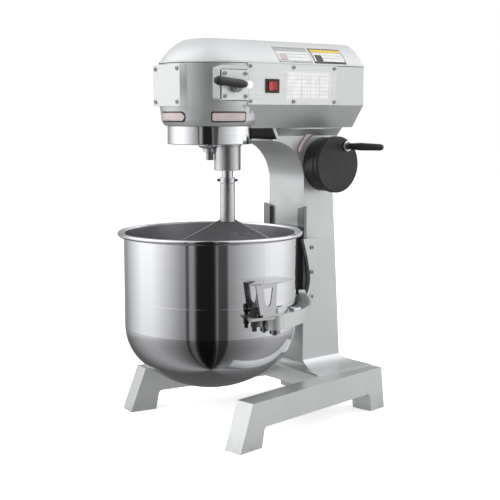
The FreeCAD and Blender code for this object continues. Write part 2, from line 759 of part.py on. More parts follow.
def belt_shape():
    """A flat belt round both pulleys: two arcs and their outer tangents, offset by its thickness."""
    big = FreeCAD.Vector(-value("spur_centres"), -value("drive_level"), 0)
    small = FreeCAD.Vector(value("motor_x"), -value("motor_z"), 0)
    radii = value("driven_pulley_radius") + 0.3, value("motor_pulley_radius") + 0.3

    def loop(grow):
        large, little = radii[0] + grow, radii[1] + grow
        line = small - big
        along = math.atan2(line.y, line.x)
        lean = math.acos((large - little) / line.Length)

        def on(centre, radius, angle):
            return centre + FreeCAD.Vector(math.cos(angle), math.sin(angle), 0) * radius

        up, down = along + lean, along - lean
        edges = [Part.LineSegment(on(big, large, up), on(small, little, up)).toShape(),
                 Part.Arc(on(small, little, up), on(small, little, along),
                          on(small, little, down)).toShape(),
                 Part.LineSegment(on(small, little, down), on(big, large, down)).toShape(),
                 Part.Arc(on(big, large, down), on(big, large, along + math.pi),
                          on(big, large, up)).toShape()]
        return Part.Face(Part.Wire(edges))

    width = FreeCAD.Vector(0, 0, value("pulley_width") - 7)
    return loop(value("belt_thick") - 0.6).cut(loop(0)).extrude(width)


def make_gearbox():
    """Input shaft with three pinions, output shaft with three wheels, and the bevel drive."""
    module, centres = value("spur_module"), value("spur_centres")
    input_shaft = turned("input_shaft", steps(("shaft_radius", 94),
                                              ("shaft_radius", "pulley_front + pulley_width")))
    piece("input_shaft", put(input_shaft, "-spur_centres", 0, "drive_level", ALONG_Y))
    cluster = []
    for teeth, start, width in ((14, 100, 9), (18, 112, 10), (22, 125, 9)):
        gear = spur(teeth, module, width, value("shaft_radius"))
        gear.translate(FreeCAD.Vector(0, 0, start - 100))
        gear.rotate(FreeCAD.Vector(), Z_AXIS, 180 / teeth)
        cluster.append(gear)
    for start, width in ((9, 3), (22, 3)):
        collar = Part.makeCylinder(12, width, FreeCAD.Vector(0, 0, start))
        cluster.append(collar.cut(Part.makeCylinder(value("shaft_radius"), 40)))
    piece("pinion_cluster", shaped(cluster[0].multiFuse(cluster[1:]), "-spur_centres", 100,
                                   "drive_level", ALONG_Y))
    output_shaft = turned("output_shaft", steps(("shaft_radius", 30), ("shaft_radius", 156)))
    piece("output_shaft", put(output_shaft, 0, 0, "drive_level", ALONG_Y))
    wheels = []
    for teeth, start in ((40, 88), (36, 112), (32, 136)):
        gear = spur(teeth, module, 10, value("shaft_radius"))
        wheels.append(shaped(gear, 0, start, "drive_level", ALONG_Y))
    piece("speed_gears", together(*wheels))
    gap = 0.6
    pinion = turned("bevel_pinion", [
        ("shaft_radius", "crown_cone_radius - 14"),
        (f"pinion_cone_radius - 7 - {gap}", "crown_cone_radius - 14"),
        (f"pinion_cone_radius - {gap}", "crown_cone_radius"),
        (f"pinion_cone_radius - {gap}", "crown_cone_radius + 6"),
        ("shaft_radius", "crown_cone_radius + 6")])
    piece("bevel_pinion", put(pinion, 0, 0, "drive_level", ALONG_Y))
    top = "drive_level - pinion_cone_radius"
    crown = turned("crown_gear", [
        ("main_shaft_radius", f"{top} - 9"), ("crown_cone_radius", f"{top} - 9"),
        ("crown_cone_radius", top), ("crown_cone_radius - 14", f"{top} + 7"),
        ("main_shaft_radius", f"{top} + 7")])
    piece("crown_gear", put(crown))

    low = "head_band_low - 6"
    bracket = front_pad("rear_bracket", [rectangle(-80, 26, low, "head_seam - 4")], 150, 158,
                        circles=[("-spur_centres", "drive_level", 17), (0, "drive_level", 17)])
    front = front_pad("front_bracket", [rectangle(-30, 30, low, "head_seam - 4")], 64, 72,
                      circles=[(0, "drive_level", 17)])
    plate = turned("bearing_plate", [(26, 607), (79, 607), (79, 612), (34, 612), (34, 626), (26, 626)])
    piece("gearbox_frame", fused(put(bracket), put(front), put(plate),
                                 block_between(-30, 30, 36, 72, 610, low),
                                 block_between(-30, 26, 72, 150, low, f"{low} + 6")))
    bearings = [put(turned("bearing", ring_section(f"{bore} + fit_gap", radius, 0, width)), x, y, z, turn)
                for bore, radius, width, x, y, z, turn in (
                    ("main_shaft_radius", 26, 14, 0, 0, 612, UPRIGHT),
                    ("shaft_radius", 17, 8, 0, 64, "drive_level", ALONG_Y),
                    ("shaft_radius", 17, 8, 0, 150, "drive_level", ALONG_Y),
                    ("shaft_radius", 17, 8, "-spur_centres", 150, "drive_level", ALONG_Y))]
    piece("shaft_bearings", together(*bearings))


# ---------------------------------------------------------------- planetary head and beater

def make_planetary():
    """The fixed ring gear, the carrier on the main shaft and the agitator that it swings round."""
    orbit = value("orbit_angle")
    planet_x = f"orbit_radius * cos({orbit} * 1 deg)"
    planet_y = f"orbit_radius * sin({orbit} * 1 deg)"
    module = value("gear_module")

    ring = turned("trim_ring", [
        ("ring_bore", "ring_low + 1"), ("ring_bore + 1", "ring_low"), ("ring_radius - 1", "ring_low"),
        ("ring_radius", "ring_low + 1"), ("ring_radius", "floor_level - 0.4"),
        ("ring_bore", "floor_level - 0.4")])
    piece("trim_ring", put(ring))
    spaces = gear_wire(round(value("ring_teeth")), module, -0.25, addendum=1.25, dedendum=1.0)
    ring_gear = Part.makeCylinder(value("ring_gear_radius"), 18).cut(Part.Face(spaces).extrude(Z_AXIS * 18))
    piece("ring_gear", shaped(ring_gear, 0, 0, "floor_level + 2", spin=orbit))

    disc = turned("carrier_disc", [
        ("main_shaft_radius", "carrier_low"), ("carrier_radius", "carrier_low"),
        ("carrier_radius", "carrier_high"), ("main_shaft_radius", "carrier_high")])
    boss = turned("carrier_boss", [
        (0, "boss_low"), ("boss_radius - 1", "boss_low"), ("boss_radius", "boss_low + 1"),
        ("boss_radius", "carrier_low - 8"), ("boss_radius + 1.6", "carrier_low - 7"),
        ("boss_radius + 1.6", "carrier_low + 1"), (0, "carrier_low + 1")])
    cone = turned("carrier_cone", [
        (0, "carrier_low - 18"), (13, "carrier_low - 18"), (13, "carrier_low - 12"),
        (20, "carrier_low - 9"), (22, "carrier_low - 7"), (22, "carrier_low + 1"),
        (0, "carrier_low + 1")])
    bore = cylinder("agitator_radius + fit_gap", 110)
    seat = cylinder("agitator_radius + 8", 14)
    piece("planet_carrier", less(fused(put(disc), put(boss, planet_x, planet_y), put(cone)),
                                 put(bore, planet_x, planet_y, "boss_low - 5"),
                                 put(seat, planet_x, planet_y, "boss_low - 1")))
    bearing = turned("agitator_bearing", ring_section("agitator_radius + fit_gap", "agitator_radius + 8",
                                                      "boss_low", "boss_low + 13"))
    piece("agitator_bearing", put(bearing, planet_x, planet_y))
    main_shaft = turned("main_shaft", steps(("main_shaft_radius", "carrier_low + 1.2"),
                                            ("main_shaft_radius", "drive_level - 10")))
    piece("main_shaft", put(main_shaft))
    bolt = turned("centre_bolt", [
        (0, "carrier_low - 34"), (7, "carrier_low - 34"), (7, "carrier_low - 22"),
        (8, "carrier_low - 22"), (8, "carrier_low - 18"), (0, "carrier_low - 18")])
    piece("centre_bolt", put(bolt))

    shaft = turned("agitator_shaft", steps(
        ("agitator_radius - 3", "sleeve_low + 12"), ("agitator_radius", "sleeve_high + 12"),
        ("agitator_radius", "floor_level + 20")))
    piece("agitator_shaft", put(shaft, planet_x, planet_y))
    planet = spur(round(value("planet_teeth")), module, 16, value("agitator_radius"))
    piece("planet_gear", shaped(planet, planet_x, planet_y, "floor_level + 3", spin=orbit))
    collar = turned("shaft_collar", ring_section("agitator_radius - 3", 15, "sleeve_high + 1",
                                                 "sleeve_high + 12"))
    across = put(cylinder(3, 40), f"({planet_x}) - 20 * cos({orbit} * 1 deg)",
                 f"({planet_y}) - 20 * sin({orbit} * 1 deg)", "sleeve_high + 6.5",
                 FreeCAD.Rotation(Z_AXIS, orbit).multiply(ALONG_X))
    piece("shaft_collar", less(fused(put(collar, planet_x, planet_y), across),
                               put(cylinder("agitator_radius - 3", 30), planet_x, planet_y,
                                   "sleeve_high - 9")))
    make_beater(planet_x, planet_y, FreeCAD.Rotation(Z_AXIS, orbit))


def make_beater(planet_x, planet_y, turn):
    """The flat beater: a bowl-shaped frame with a centre rib and cross ribs, on a socket sleeve."""
    wide, low, bar = "beater_half_width", "beater_low", "beater_bar"
    shoulder = "sleeve_low - 52"
    half = [(0, low), (26, low, 190), (f"{wide} - 36", f"{low} + 42", 92), (wide, f"{low} + 108"),
            (wide, f"{shoulder} - 6"), (f"{wide} - 7", shoulder), ("sleeve_radius - 1", "sleeve_low + 4"),
            (0, "sleeve_low + 4")]

    def flip(points):
        """The same outline on the other side of x = 0, walked the same way round."""
        back = list(reversed(points))
        out = []
        for i, corner in enumerate(back):
            before = points[(len(points) - 2 - i) % len(points)]
            out.append(("-(%s)" % corner[0], corner[1]) + tuple(before[2:]))
        return out

    outline = [(0, low)] + half[1:-1] + flip(half[1:-1])
    inner_wide = f"{wide} - {bar}"
    upper = [(5, f"{low} + 128"), (inner_wide, f"{low} + 128"), (inner_wide, f"{shoulder} - 10"),
             (5, "sleeve_low - 18")]
    lower = [(5, f"{low} + {bar} - 1"), (24, f"{low} + {bar} - 1", 176),
             (f"{wide} - 46", f"{low} + 50", 80), (inner_wide, f"{low} + 106"),
             (inner_wide, f"{low} + 118"), (5, f"{low} + 118")]
    frame = front_pad("beater_frame", [outline, upper, flip(upper), lower, flip(lower)],
                      "-beater_thick / 2", "beater_thick / 2")
    put(frame, planet_x, planet_y, 0, turn)
    sleeve = turned("beater_sleeve", [
        (0, "sleeve_low - 6"), ("sleeve_radius", "sleeve_low"), ("sleeve_radius", "sleeve_high"),
        (0, "sleeve_high")])
    socket = cylinder("agitator_radius - 3", 80)
    piece("beater", less(fused(frame, put(sleeve, planet_x, planet_y)),
                         put(socket, planet_x, planet_y, "sleeve_low + 12")))


# ---------------------------------------------------------------- bowl and yoke

def make_bowl():
    """A spun bowl: a cylinder, a dished bottom of two arcs, and a rolled rim."""
    crown = ("((bowl_radius - knuckle_radius) ^ 2 + dish_height ^ 2 - knuckle_radius ^ 2)"
             " / (2 * (dish_height - knuckle_radius))")
    crown_radius, knuckle = value(crown), value("knuckle_radius")
    shoulder = value("bowl_low + dish_height")
    centre_x, centre_z = value("bowl_radius") - knuckle, shoulder
    crown_z = value("bowl_low") + crown_radius
    reach = math.hypot(centre_x, crown_z - centre_z)
    lean_x, lean_z = centre_x / reach, (crown_z - centre_z) / reach

    def joint(radius):
        """Where the crown arc of this radius meets the knuckle arc."""
        return (radius * lean_x, crown_z - radius * lean_z)

    outer, inner = joint(crown_radius), joint(crown_radius - value("bowl_wall"))
    lip = "bowl_rim - rim_bead"
    wall = turned("bowl_wall_shell", [
        (0, "bowl_low", crown), outer + ("knuckle_radius",), ("bowl_radius", "bowl_low + dish_height"),
        ("bowl_radius", f"{lip} - 1.5"), ("rim_radius", f"{lip} - 1.5"), ("rim_radius", f"{lip} + 1"),
        ("bowl_radius - bowl_wall", f"{lip} + 1"),
        ("bowl_radius - bowl_wall", "bowl_low + dish_height", "-(knuckle_radius - bowl_wall)"),
        inner + (f"-({crown} - bowl_wall)",), (0, "bowl_low + bowl_wall")])
    bead = bind(doc.addObject("Part::Torus", "Torus"), Radius1="rim_radius", Radius2="rim_bead")
    piece("bowl", fused(put(wall), put(bead, 0, 0, lip)))


def make_yoke():
    """The yoke: two arms round the bowl, side plates that grip the rails, and the lug to the nut."""
    rail_front = "column_front - rail_thick - free_gap"
    rail_back = "column_front + free_gap"
    arm = put(cylinder("arm_outer", "arm_high - arm_low"), 0, 0, "arm_low")
    keep = block_between("-arm_outer - 10", "arm_outer + 10", "arm_end", "column_front",
                         "arm_low", "arm_high")
    solids = [shared(arm, keep)]
    for sign in (1, -1):
        solids.append(put(cylinder("arm_boss_radius", "arm_high - arm_low"), f"{sign} * pin_x",
                          "pin_y", "arm_low"))
        tongue = slab("clamp_tongue", [[
            (f"{sign} * (clamp_x - 8)", "clamp_y - 10"), (f"{sign} * (clamp_x + 8)", "clamp_y - 13"),
            (f"{sign} * (pin_x + 15)", "pin_y"), (f"{sign} * (pin_x - 15)", "pin_y")]],
            "arm_high - 6", "arm_high - 1")
        solids.append(put(tongue))
        plate = [("yoke_web_front", "yoke_top", -400), ("yoke_web_front + 19", "yoke_top - 79", -70),
                 ("yoke_web_front + 3", "arm_high - 8"),
                 ("yoke_web_front - 8", "arm_low"), ("column_front + 11", "arm_low"),
                 ("column_front + 19", "arm_low + 24"), ("column_front + 22", "yoke_top")]
        side = padded("yoke_side", "YZ_Plane", [plate], "yoke_plate_outer - yoke_plate_inner",
                      "yoke_plate_inner" if sign > 0 else "-yoke_plate_outer")
        solids.append(put(side))
        gusset = slab("yoke_gusset", [[
            (f"{sign} * (yoke_plate_outer - 1)", 140), (f"{sign} * (yoke_plate_outer + 46)", 150),
            (f"{sign} * (yoke_plate_outer + 8)", "column_front - 6"),
            (f"{sign} * (yoke_plate_outer - 1)", "column_front + 8")]], "arm_low", "arm_high")
        solids.append(put(gusset))
    solids.append(block_between("-yoke_plate_outer", "yoke_plate_outer", "yoke_web_front - 6",
                                rail_front, "arm_low", "arm_high"))
    solids.append(block_between(-26, 26, "yoke_web_front", rail_front, "arm_low", "yoke_top"))
    solids.append(block_between(-12, 12, "yoke_web_front", "wheel_y", "lug_low", "lug_high"))
    solids.append(put(cylinder(20, "lug_high - lug_low"), 0, "wheel_y", "lug_low"))
    channel = block_between("-yoke_plate_inner", "yoke_plate_inner", rail_front, "column_front + 60",
                            "arm_low - 5", "lug_low")
    tools = [put(cylinder("arm_inner", 200), 0, 0, "arm_low - 5"), channel,
             put(cylinder("screw_radius + 5", 100), 0, "wheel_y", "lug_low - 10")]
    for sign in (1, -1):
        tools.append(put(cylinder("pin_radius", 60), f"{sign} * pin_x", "pin_y", "arm_low - 10"))
        tools.append(put(cylinder("clamp_spindle + fit_gap", 60), f"{sign} * clamp_x", "clamp_y",
                         "arm_low - 10"))
    piece("yoke", less(fused(*solids), *tools))

    keepers = [block_between(*sorted((f"{sign} * (column_half_width + 1)", f"{sign} * yoke_plate_inner"),
                                     key=value), rail_back, "column_front + 12",
                             "arm_high - 12", "yoke_top - 8") for sign in (1, -1)]
    piece("rail_keepers", together(*keepers))
    screw_groups = []
    for sign in (1, -1):
        for height in ("yoke_top - 18", "yoke_top - 68", "yoke_top - 118"):
            turn = ALONG_X if sign > 0 else FreeCAD.Rotation(Y_AXIS, -90)
            screw = turned("keeper_screw", steps((2.5, -14), (4.2, 0), (4.2, 2.2)))
            screw_groups.append(put(screw, f"{sign} * yoke_plate_outer", "column_front + 6", height, turn))
    keeper_screws = together(*screw_groups)
    piece("keeper_screws", keeper_screws)

    nut = turned("lift_nut", [
        ("screw_radius + fit_gap", "lug_low - 4"), (20, "lug_low - 4"), (20, "lug_low"),
        ("screw_radius + 5", "lug_low"), ("screw_radius + 5", "lug_high + 2"),
        ("screw_radius + fit_gap", "lug_high + 2")])
    piece("lift_nut", put(nut, 0, "wheel_y"))
    pins = []
    for sign in (1, -1):
        pins.append(put(turned("pin", [
            (0, "arm_low - 12"), ("pin_radius - 1", "arm_low - 12"), ("pin_radius - 1", "arm_low - 9"),
            ("pin_radius + 4", "arm_low - 9"), ("pin_radius + 4", "arm_low"), ("pin_radius", "arm_low"),
            ("pin_radius", "arm_high + 12"), ("pin_radius - 3", "arm_high + 15"), (0, "arm_high + 15")]),
            f"{sign} * pin_x", "pin_y"))
    piece("locating_pins", together(*pins))


def make_ears():
    """The bowl's ears: a lifting flange, a face with an open loop, and a foot on the yoke's pin."""
    for sign, side in ((1, "right"), (-1, "left")):
        def plan(points):
            return [(f"{sign} * ({x})", y) for x, y in points]

        flange = slab("ear_flange", [plan([
            (150, -16), (165, -20), (190, -55), (196, -32), (198, 12), (190, 42), (180, 55), (168, 50),
            (150, 48)])], "ear_top - ear_sheet", "ear_top")
        foot = slab("ear_foot", [plan([(150, -28), ("ear_face + 6", -28), ("ear_face + 6", 20),
                                       (168, 56), (150, 50)])], "arm_high", "arm_high + ear_foot",
                    circles=[(f"{sign} * pin_x", "pin_y", "pin_radius + fit_gap")])
        face_outline = [(-42, "ear_top - ear_sheet"), (-32, "arm_high + ear_foot"),
                        (4, "arm_high + ear_foot"), (7, "ear_top - ear_sheet")]
        loop = [(-25, "ear_top - 10"), (-22, "arm_high + 30", 14), (-13, "arm_high + 18", 12),
                (-7, "arm_high + 26"), (-3, "ear_top - 10")]
        face = padded("ear_face_plate", "YZ_Plane", [face_outline, loop], "ear_sheet",
                      "ear_face" if sign > 0 else "-ear_face - ear_sheet")
        solid = fused(put(flange), put(foot), put(face))
        clear = put(cylinder("bowl_radius", 120), 0, 0, "arm_high - 10")
        piece(f"bowl_ear_{side}", less(solid, clear))


def make_clamps():
    """Swing clamps: a spindle in the arm's end with a finger over the ear's foot and a black knob."""
    for sign, side in ((1, "right"), (-1, "left")):
        spindle = put(cylinder("clamp_spindle", "arm_high - arm_low + 11"), f"{sign} * clamp_x",
                      "clamp_y", "arm_low + 1")
        tip = slab("clamp_tip", [[
            (f"{sign} * (clamp_x - 6)", "clamp_y - 6"), (f"{sign} * (clamp_x + 5)", "clamp_y - 6"),
            (f"{sign} * (clamp_x + 3)", "clamp_y + 14"), (f"{sign} * (clamp_x - 5)", "clamp_y + 14")]],
            "arm_high + ear_foot + free_gap", "arm_high + ear_foot + 3.5")
        retainer = put(cylinder(6.5, "arm_high - arm_low - 15.5"), f"{sign} * clamp_x", "clamp_y",
                       "arm_low + 9")
        piece(f"clamp_finger_{side}", fused(spindle, put(tip), retainer))
        knob = turned("clamp_knob", [
            (0, "arm_high + 12"), ("clamp_spindle", "arm_high + 12"), ("clamp_spindle", "arm_high + 8"),
            (6.5, "arm_high + 8"), (7, "arm_high + 9.5"), (7, "arm_high + 17"), (5.5, "arm_high + 18.5"),
            (0, "arm_high + 18.5")])
        piece(f"clamp_knob_{side}", put(knob, f"{sign} * clamp_x", "clamp_y"))


# ---------------------------------------------------------------- bowl lift

def make_lift():
    """The hand wheel on the side of the column turns the vertical lift screw by two cones."""
    disc = turned("wheel_disc", [
        (6, "-wheel_thick - 10"), (14, "-wheel_thick - 10"), (14, "-wheel_thick"),
        ("wheel_radius - 2", "-wheel_thick"), ("wheel_radius", "-wheel_thick + 2"),
        ("wheel_radius", -2), ("wheel_radius - 2", 0), (0, 0), (0, -3), (6, -3)])
    piece("hand_wheel", put(disc, "wheel_face", "wheel_y", "wheel_z", ALONG_X))
    shaft = turned("wheel_shaft", steps((8, "lift_cone_radius + 8"), (6, "wheel_face - wheel_thick - 10"),
                                        (6, "wheel_face - 3")))
    piece("wheel_shaft", put(shaft, 0, "wheel_y", "wheel_z", ALONG_X))
    gap = 0.6
    bevel = turned("wheel_bevel", [
        (8, "lift_cone_radius - 6"), (f"lift_cone_radius - 6 - {gap}", "lift_cone_radius - 6"),
        (f"lift_cone_radius - {gap}", "lift_cone_radius"),
        (f"lift_cone_radius - {gap}", "lift_cone_radius + 6"),
        (8, "lift_cone_radius + 6")])
    piece("wheel_bevel", put(bevel, 0, "wheel_y", "wheel_z", ALONG_X))
    bush = turned("wheel_bush", [
        ("8 + fit_gap", "column_half_width - column_wall"), (13, "column_half_width - column_wall"),
        (13, "column_half_width"), ("housing_radius - 1", "column_half_width"),
        ("housing_radius", "column_half_width + 1"), ("housing_radius", "housing_face - 2"),
        ("housing_radius - 2", "housing_face"), (18, "housing_face"), (18, "housing_face - 10"),
        ("8 + fit_gap", "housing_face - 10")])
    piece("wheel_bush", put(bush, 0, "wheel_y", "wheel_z", ALONG_X))

    spindle = turned("crank_spindle", steps((6.5, 0), (4, 8), (4, "crank_end - wheel_face - 4")))
    piece("crank_spindle", put(spindle, "wheel_face", "wheel_y + crank_dy", "wheel_z + crank_dz", ALONG_X))
    grip = turned("crank_grip", [
        ("4 + fit_gap", 8.5), (6, 8.5), (7.6, 40), (6.4, "crank_end - wheel_face - 6"),
        (5, "crank_end - wheel_face - 1.5", dome(5, 1.5)), (0, "crank_end - wheel_face"),
        (0, "crank_end - wheel_face - 3.5"), ("4 + fit_gap", "crank_end - wheel_face - 3.5")])
    piece("crank_grip", put(grip, "wheel_face", "wheel_y + crank_dy", "wheel_z + crank_dz", ALONG_X))

    cone_low = "wheel_z - lift_cone_radius"
    screw = turned("lift_screw", steps((7, "screw_low - 10"), ("screw_radius", "screw_low"),
                                       (7, f"{cone_low} - 22"), (7, f"{cone_low} + 4")))
    piece("lift_screw", put(screw, 0, "wheel_y"))
    cone = turned("screw_bevel", [
        (7, f"{cone_low} - 6"), (f"lift_cone_radius - {gap}", f"{cone_low} - 6"),
        (f"lift_cone_radius - {gap}", cone_low), (f"lift_cone_radius - 6 - {gap}", f"{cone_low} + 6"),
        (7, f"{cone_low} + 6")])
    piece("screw_bevel", put(cone, 0, "wheel_y"))
    bearings = [put(turned("screw_bearing", ring_section("7 + fit_gap", 15, low, f"{low} + 11")),
                    0, "wheel_y") for low in ("screw_low - 12", f"{cone_low} - 20")]
    piece("screw_bearings", together(*bearings))


def make_fittings():
    """The guard behind the planetary head and the cable gland at the foot of the column."""
    guard = side_pad("neck_guard", [[
        ("column_front - neck_bend - 3", "column_top"), ("column_front - neck_bend", "column_top"),
        ("column_front - neck_bend + guard_lean - 0.4", "guard_low + 0.2"),
        ("column_front - neck_bend + guard_lean - 3", "guard_low + 0.2")]],
        "column_half_width - 2")
    piece("neck_guard", put(guard))
    gland = turned("cable_gland", [(4.5, -14), (8, -14), (8, 0), (12, 0), (12, 6), (9, 7),
                                   (8, 16), (4.5, 16)])
    piece("cable_gland", put(gland, 0, "gland_seat", "gland_z", ALONG_Y))


make_base()
make_column()
make_rails()
make_head()
piece("head_screws", together(make_nose_plate(), make_panel(), make_shift_lever()))
make_motor()
make_gearbox()
make_planetary()
make_bowl()
make_yoke()
make_ears()
make_clamps()
make_lift()
make_fittings()
doc.recompute()

for thing in doc.Objects:
    if {"Invalid", "Error"} & set(thing.State):
        raise RuntimeError(f"{thing.Name} ({thing.Label}) could not be built")
os.makedirs("parts", exist_ok=True)
for name, thing in pieces.items():
    shape = thing.Shape
    if shape.isNull() or not shape.isValid() or not shape.Solids:
        raise RuntimeError(f"{name} has no valid solid")
    shape.exportStep(os.path.join("parts", name + ".step"))
    box = shape.BoundBox
    print(f"{name}: {len(shape.Solids)} solids, {shape.Volume / 1000:.1f} cm3, "
          f"z {box.ZMin:.1f} to {box.ZMax:.1f}")
print(len(pieces), "sub-parts")
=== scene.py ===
import json
import math

import bmesh
import bpy
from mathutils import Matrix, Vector
from mathutils.bvhtree import BVHTree


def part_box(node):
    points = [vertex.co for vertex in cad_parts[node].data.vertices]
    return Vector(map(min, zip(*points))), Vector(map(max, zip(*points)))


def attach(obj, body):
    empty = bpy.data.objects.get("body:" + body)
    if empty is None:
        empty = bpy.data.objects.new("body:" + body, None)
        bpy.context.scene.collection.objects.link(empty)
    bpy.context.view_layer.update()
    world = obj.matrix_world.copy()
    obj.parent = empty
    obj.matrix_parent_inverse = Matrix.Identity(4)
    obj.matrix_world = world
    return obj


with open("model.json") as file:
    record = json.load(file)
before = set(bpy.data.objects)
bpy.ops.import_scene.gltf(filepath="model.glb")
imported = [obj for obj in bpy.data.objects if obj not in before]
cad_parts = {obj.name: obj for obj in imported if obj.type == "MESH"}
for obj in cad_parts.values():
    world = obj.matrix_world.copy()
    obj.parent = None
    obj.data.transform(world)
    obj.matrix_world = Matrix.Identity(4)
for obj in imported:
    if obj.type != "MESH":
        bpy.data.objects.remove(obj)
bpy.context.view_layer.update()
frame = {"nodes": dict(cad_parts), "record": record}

# Looks of a commercial stand mixer. Lengths are metres in the model's own frame.

nodes = frame["nodes"]
ring_low, ring_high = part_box("trim_ring")
AXIS = Vector((0, (ring_low.y + ring_high.y) / 2, 0))  # where the bowl's axis meets the floor

CAMERA_AZIMUTH = math.radians(51.31)
CAMERA_PITCH = math.radians(7.35)
CAMERA_PLACE = AXIS + Vector((1.6414, -1.2157, 0.6080))
CAMERA_LENS = 76.26
SENSOR = 36.0
LIGHT_TARGET = Vector((0, 0, 0.35))
TO_CAMERA = Vector((math.sin(CAMERA_AZIMUTH), -math.cos(CAMERA_AZIMUTH), 0))
CAMERA_RIGHT = Vector((math.cos(CAMERA_AZIMUTH), math.sin(CAMERA_AZIMUTH), 0))


# ---------------------------------------------------------------- camera, light and floor

def make_camera():
    lens = bpy.data.cameras.new("camera")
    lens.lens = CAMERA_LENS
    lens.sensor_width = SENSOR
    camera = bpy.data.objects.new("camera", lens)
    camera.location = CAMERA_PLACE
    camera.rotation_euler = (math.pi / 2 - CAMERA_PITCH, 0, CAMERA_AZIMUTH)
    bpy.context.scene.collection.objects.link(camera)
    bpy.context.scene.camera = camera


ROOM_LEVEL = 0.5
WORLD_STRENGTH = 0.78
# What stands round the machine: direction, half width and soft edge in degrees from the front, brightness.
PANELS = (
    (-90, 10, 45, 1.8),   # softbox on the left
    (-28, 1, 2, 0.05),    # lamp stand
    (-4, 12, 4, 0.02),    # black flag in front
    (18, 6, 2, 0.10),     # grey flag beside it
    (100, 10, 60, 1.6),   # softbox on the right
)


# Brightness from straight down (0) over the horizon (0.5) to straight up (1), as shares of the level.
RISE = ((0.0, 0.26), (0.24, 0.32), (0.35, 0.40), (0.40, 0.78), (0.44, 1.0), (0.63, 1.0), (0.67, 1.2),
        (0.73, 1.7), (0.82, 1.6), (1.0, 1.2))
COOL = (0.985, 0.995, 1.0)  # the studio's light is a little cool
NEUTRAL = (1.0, 1.0, 1.0)


def fill_ramp(ramp, stops, colour):
    """Set a new colour ramp to stops of (place, brightness)."""
    elements = ramp.color_ramp.elements
    while len(elements) < len(stops):
        elements.new(0.5)
    for element, (place, level) in zip(elements, stops):
        element.position = place
    for element, (place, level) in zip(elements, stops):
        element.color = (*[level * part for part in colour], 1)


def studio_stops():
    """Brightness round the horizon: the room's level with each panel rising or falling out of it."""
    stops = [(-180, ROOM_LEVEL)]
    for middle, half, soft, level in PANELS:
        stops += [(middle - half - soft, ROOM_LEVEL), (middle - half, level),
                  (middle + half, level), (middle + half + soft, ROOM_LEVEL)]
    return stops + [(180, ROOM_LEVEL)]


def make_world():
    """A pale studio with a dark gap in front, which gives polished metal its vertical bands."""
    world = bpy.data.worlds.new("studio")
    world.use_nodes = True
    tree = world.node_tree
    tree.nodes.clear()

    def node(kind, **settings):
        made = tree.nodes.new(kind)
        for name, setting in settings.items():
            setattr(made, name, setting)
        return made

    def join(source, target):
        tree.links.new(source, target)

    direction = node("ShaderNodeTexCoord").outputs["Generated"]
    parts = []
    for axis in (CAMERA_RIGHT, TO_CAMERA):
        dot = node("ShaderNodeVectorMath", operation="DOT_PRODUCT")
        dot.inputs[1].default_value = axis
        join(direction, dot.inputs[0])
        parts.append(dot.outputs["Value"])
    turn = node("ShaderNodeMath", operation="ARCTAN2")
    join(parts[0], turn.inputs[0])
    join(parts[1], turn.inputs[1])
    share = node("ShaderNodeMath", operation="MULTIPLY_ADD")
    join(turn.outputs[0], share.inputs[0])
    share.inputs[1].default_value = 0.5 / math.pi
    share.inputs[2].default_value = 0.5
    ramp = node("ShaderNodeValToRGB")
    join(share.outputs[0], ramp.inputs[0])
    fill_ramp(ramp, [(0.5 + degrees / 360, level) for degrees, level in studio_stops()], COOL)

    height = node("ShaderNodeSeparateXYZ")
    join(direction, height.inputs[0])
    rise = node("ShaderNodeValToRGB")
    lift = node("ShaderNodeMath", operation="MULTIPLY_ADD")
    join(height.outputs["Z"], lift.inputs[0])
    lift.inputs[1].default_value = 0.5
    lift.inputs[2].default_value = 0.5
    join(lift.outputs[0], rise.inputs[0])
    fill_ramp(rise, RISE, NEUTRAL)
    both = node("ShaderNodeVectorMath", operation="MULTIPLY")
    join(ramp.outputs["Color"], both.inputs[0])
    join(rise.outputs["Color"], both.inputs[1])
    background = node("ShaderNodeBackground")
    join(both.outputs["Vector"], background.inputs["Color"])
    background.inputs["Strength"].default_value = WORLD_STRENGTH
    output = node("ShaderNodeOutputWorld")
    join(background.outputs[0], output.inputs["Surface"])
    bpy.context.scene.world = world


def make_light(name, place, size, power):
    lamp = bpy.data.lights.new(name, "AREA")
    lamp.shape = "DISK"
    lamp.size = size
    lamp.energy = power
    light = bpy.data.objects.new(name, lamp)
    light.location = place
    light.rotation_euler = (LIGHT_TARGET - place).to_track_quat("-Z", "Y").to_euler()
    light.visible_glossy = False
    bpy.context.scene.collection.objects.link(light)


def make_lights():
    make_light("key", AXIS + TO_CAMERA * 1.6 - CAMERA_RIGHT * 1.5 + Vector((0, 0, 2.0)), 1.4, 22)
    make_light("fill", AXIS + TO_CAMERA * 1.2 + CAMERA_RIGHT * 2.0 + Vector((0, 0, 1.5)), 1.6, 5)


def make_stage():
    """A pale floor, and a pale backdrop that only closes the picture behind the object."""
    floor = disc_mesh("floor", 9.0, 0.0)
    floor.visible_glossy = False
    paint = Surface("floor_paint", Roughness=0.9)
    paint.colour(paint.blend(paint.noise(3, detail=2), (0.86, 0.86, 0.86), (0.90, 0.90, 0.90)))
    paint.shader.inputs["Emission Color"].default_value = (1, 1, 1, 1)
    paint.shader.inputs["Emission Strength"].default_value = 0.62
    paint.rough(paint.noise(9), 0.85, 0.95)
    floor.data.materials.append(paint.material)
    dome = shell_mesh("backdrop", 8.9, 3.5)
    dome.visible_glossy = dome.visible_diffuse = dome.visible_shadow = False
    dome.visible_transmission = False
    glow = Surface("backdrop_paint", Roughness=1.0)
    glow.shader.inputs["Base Color"].default_value = (0, 0, 0, 1)
    glow.shader.inputs["Emission Color"].default_value = (1, 1, 1, 1)
    glow.shader.inputs["Emission Strength"].default_value = 1.0
    dome.data.materials.append(glow.material)


# ---------------------------------------------------------------- meshes

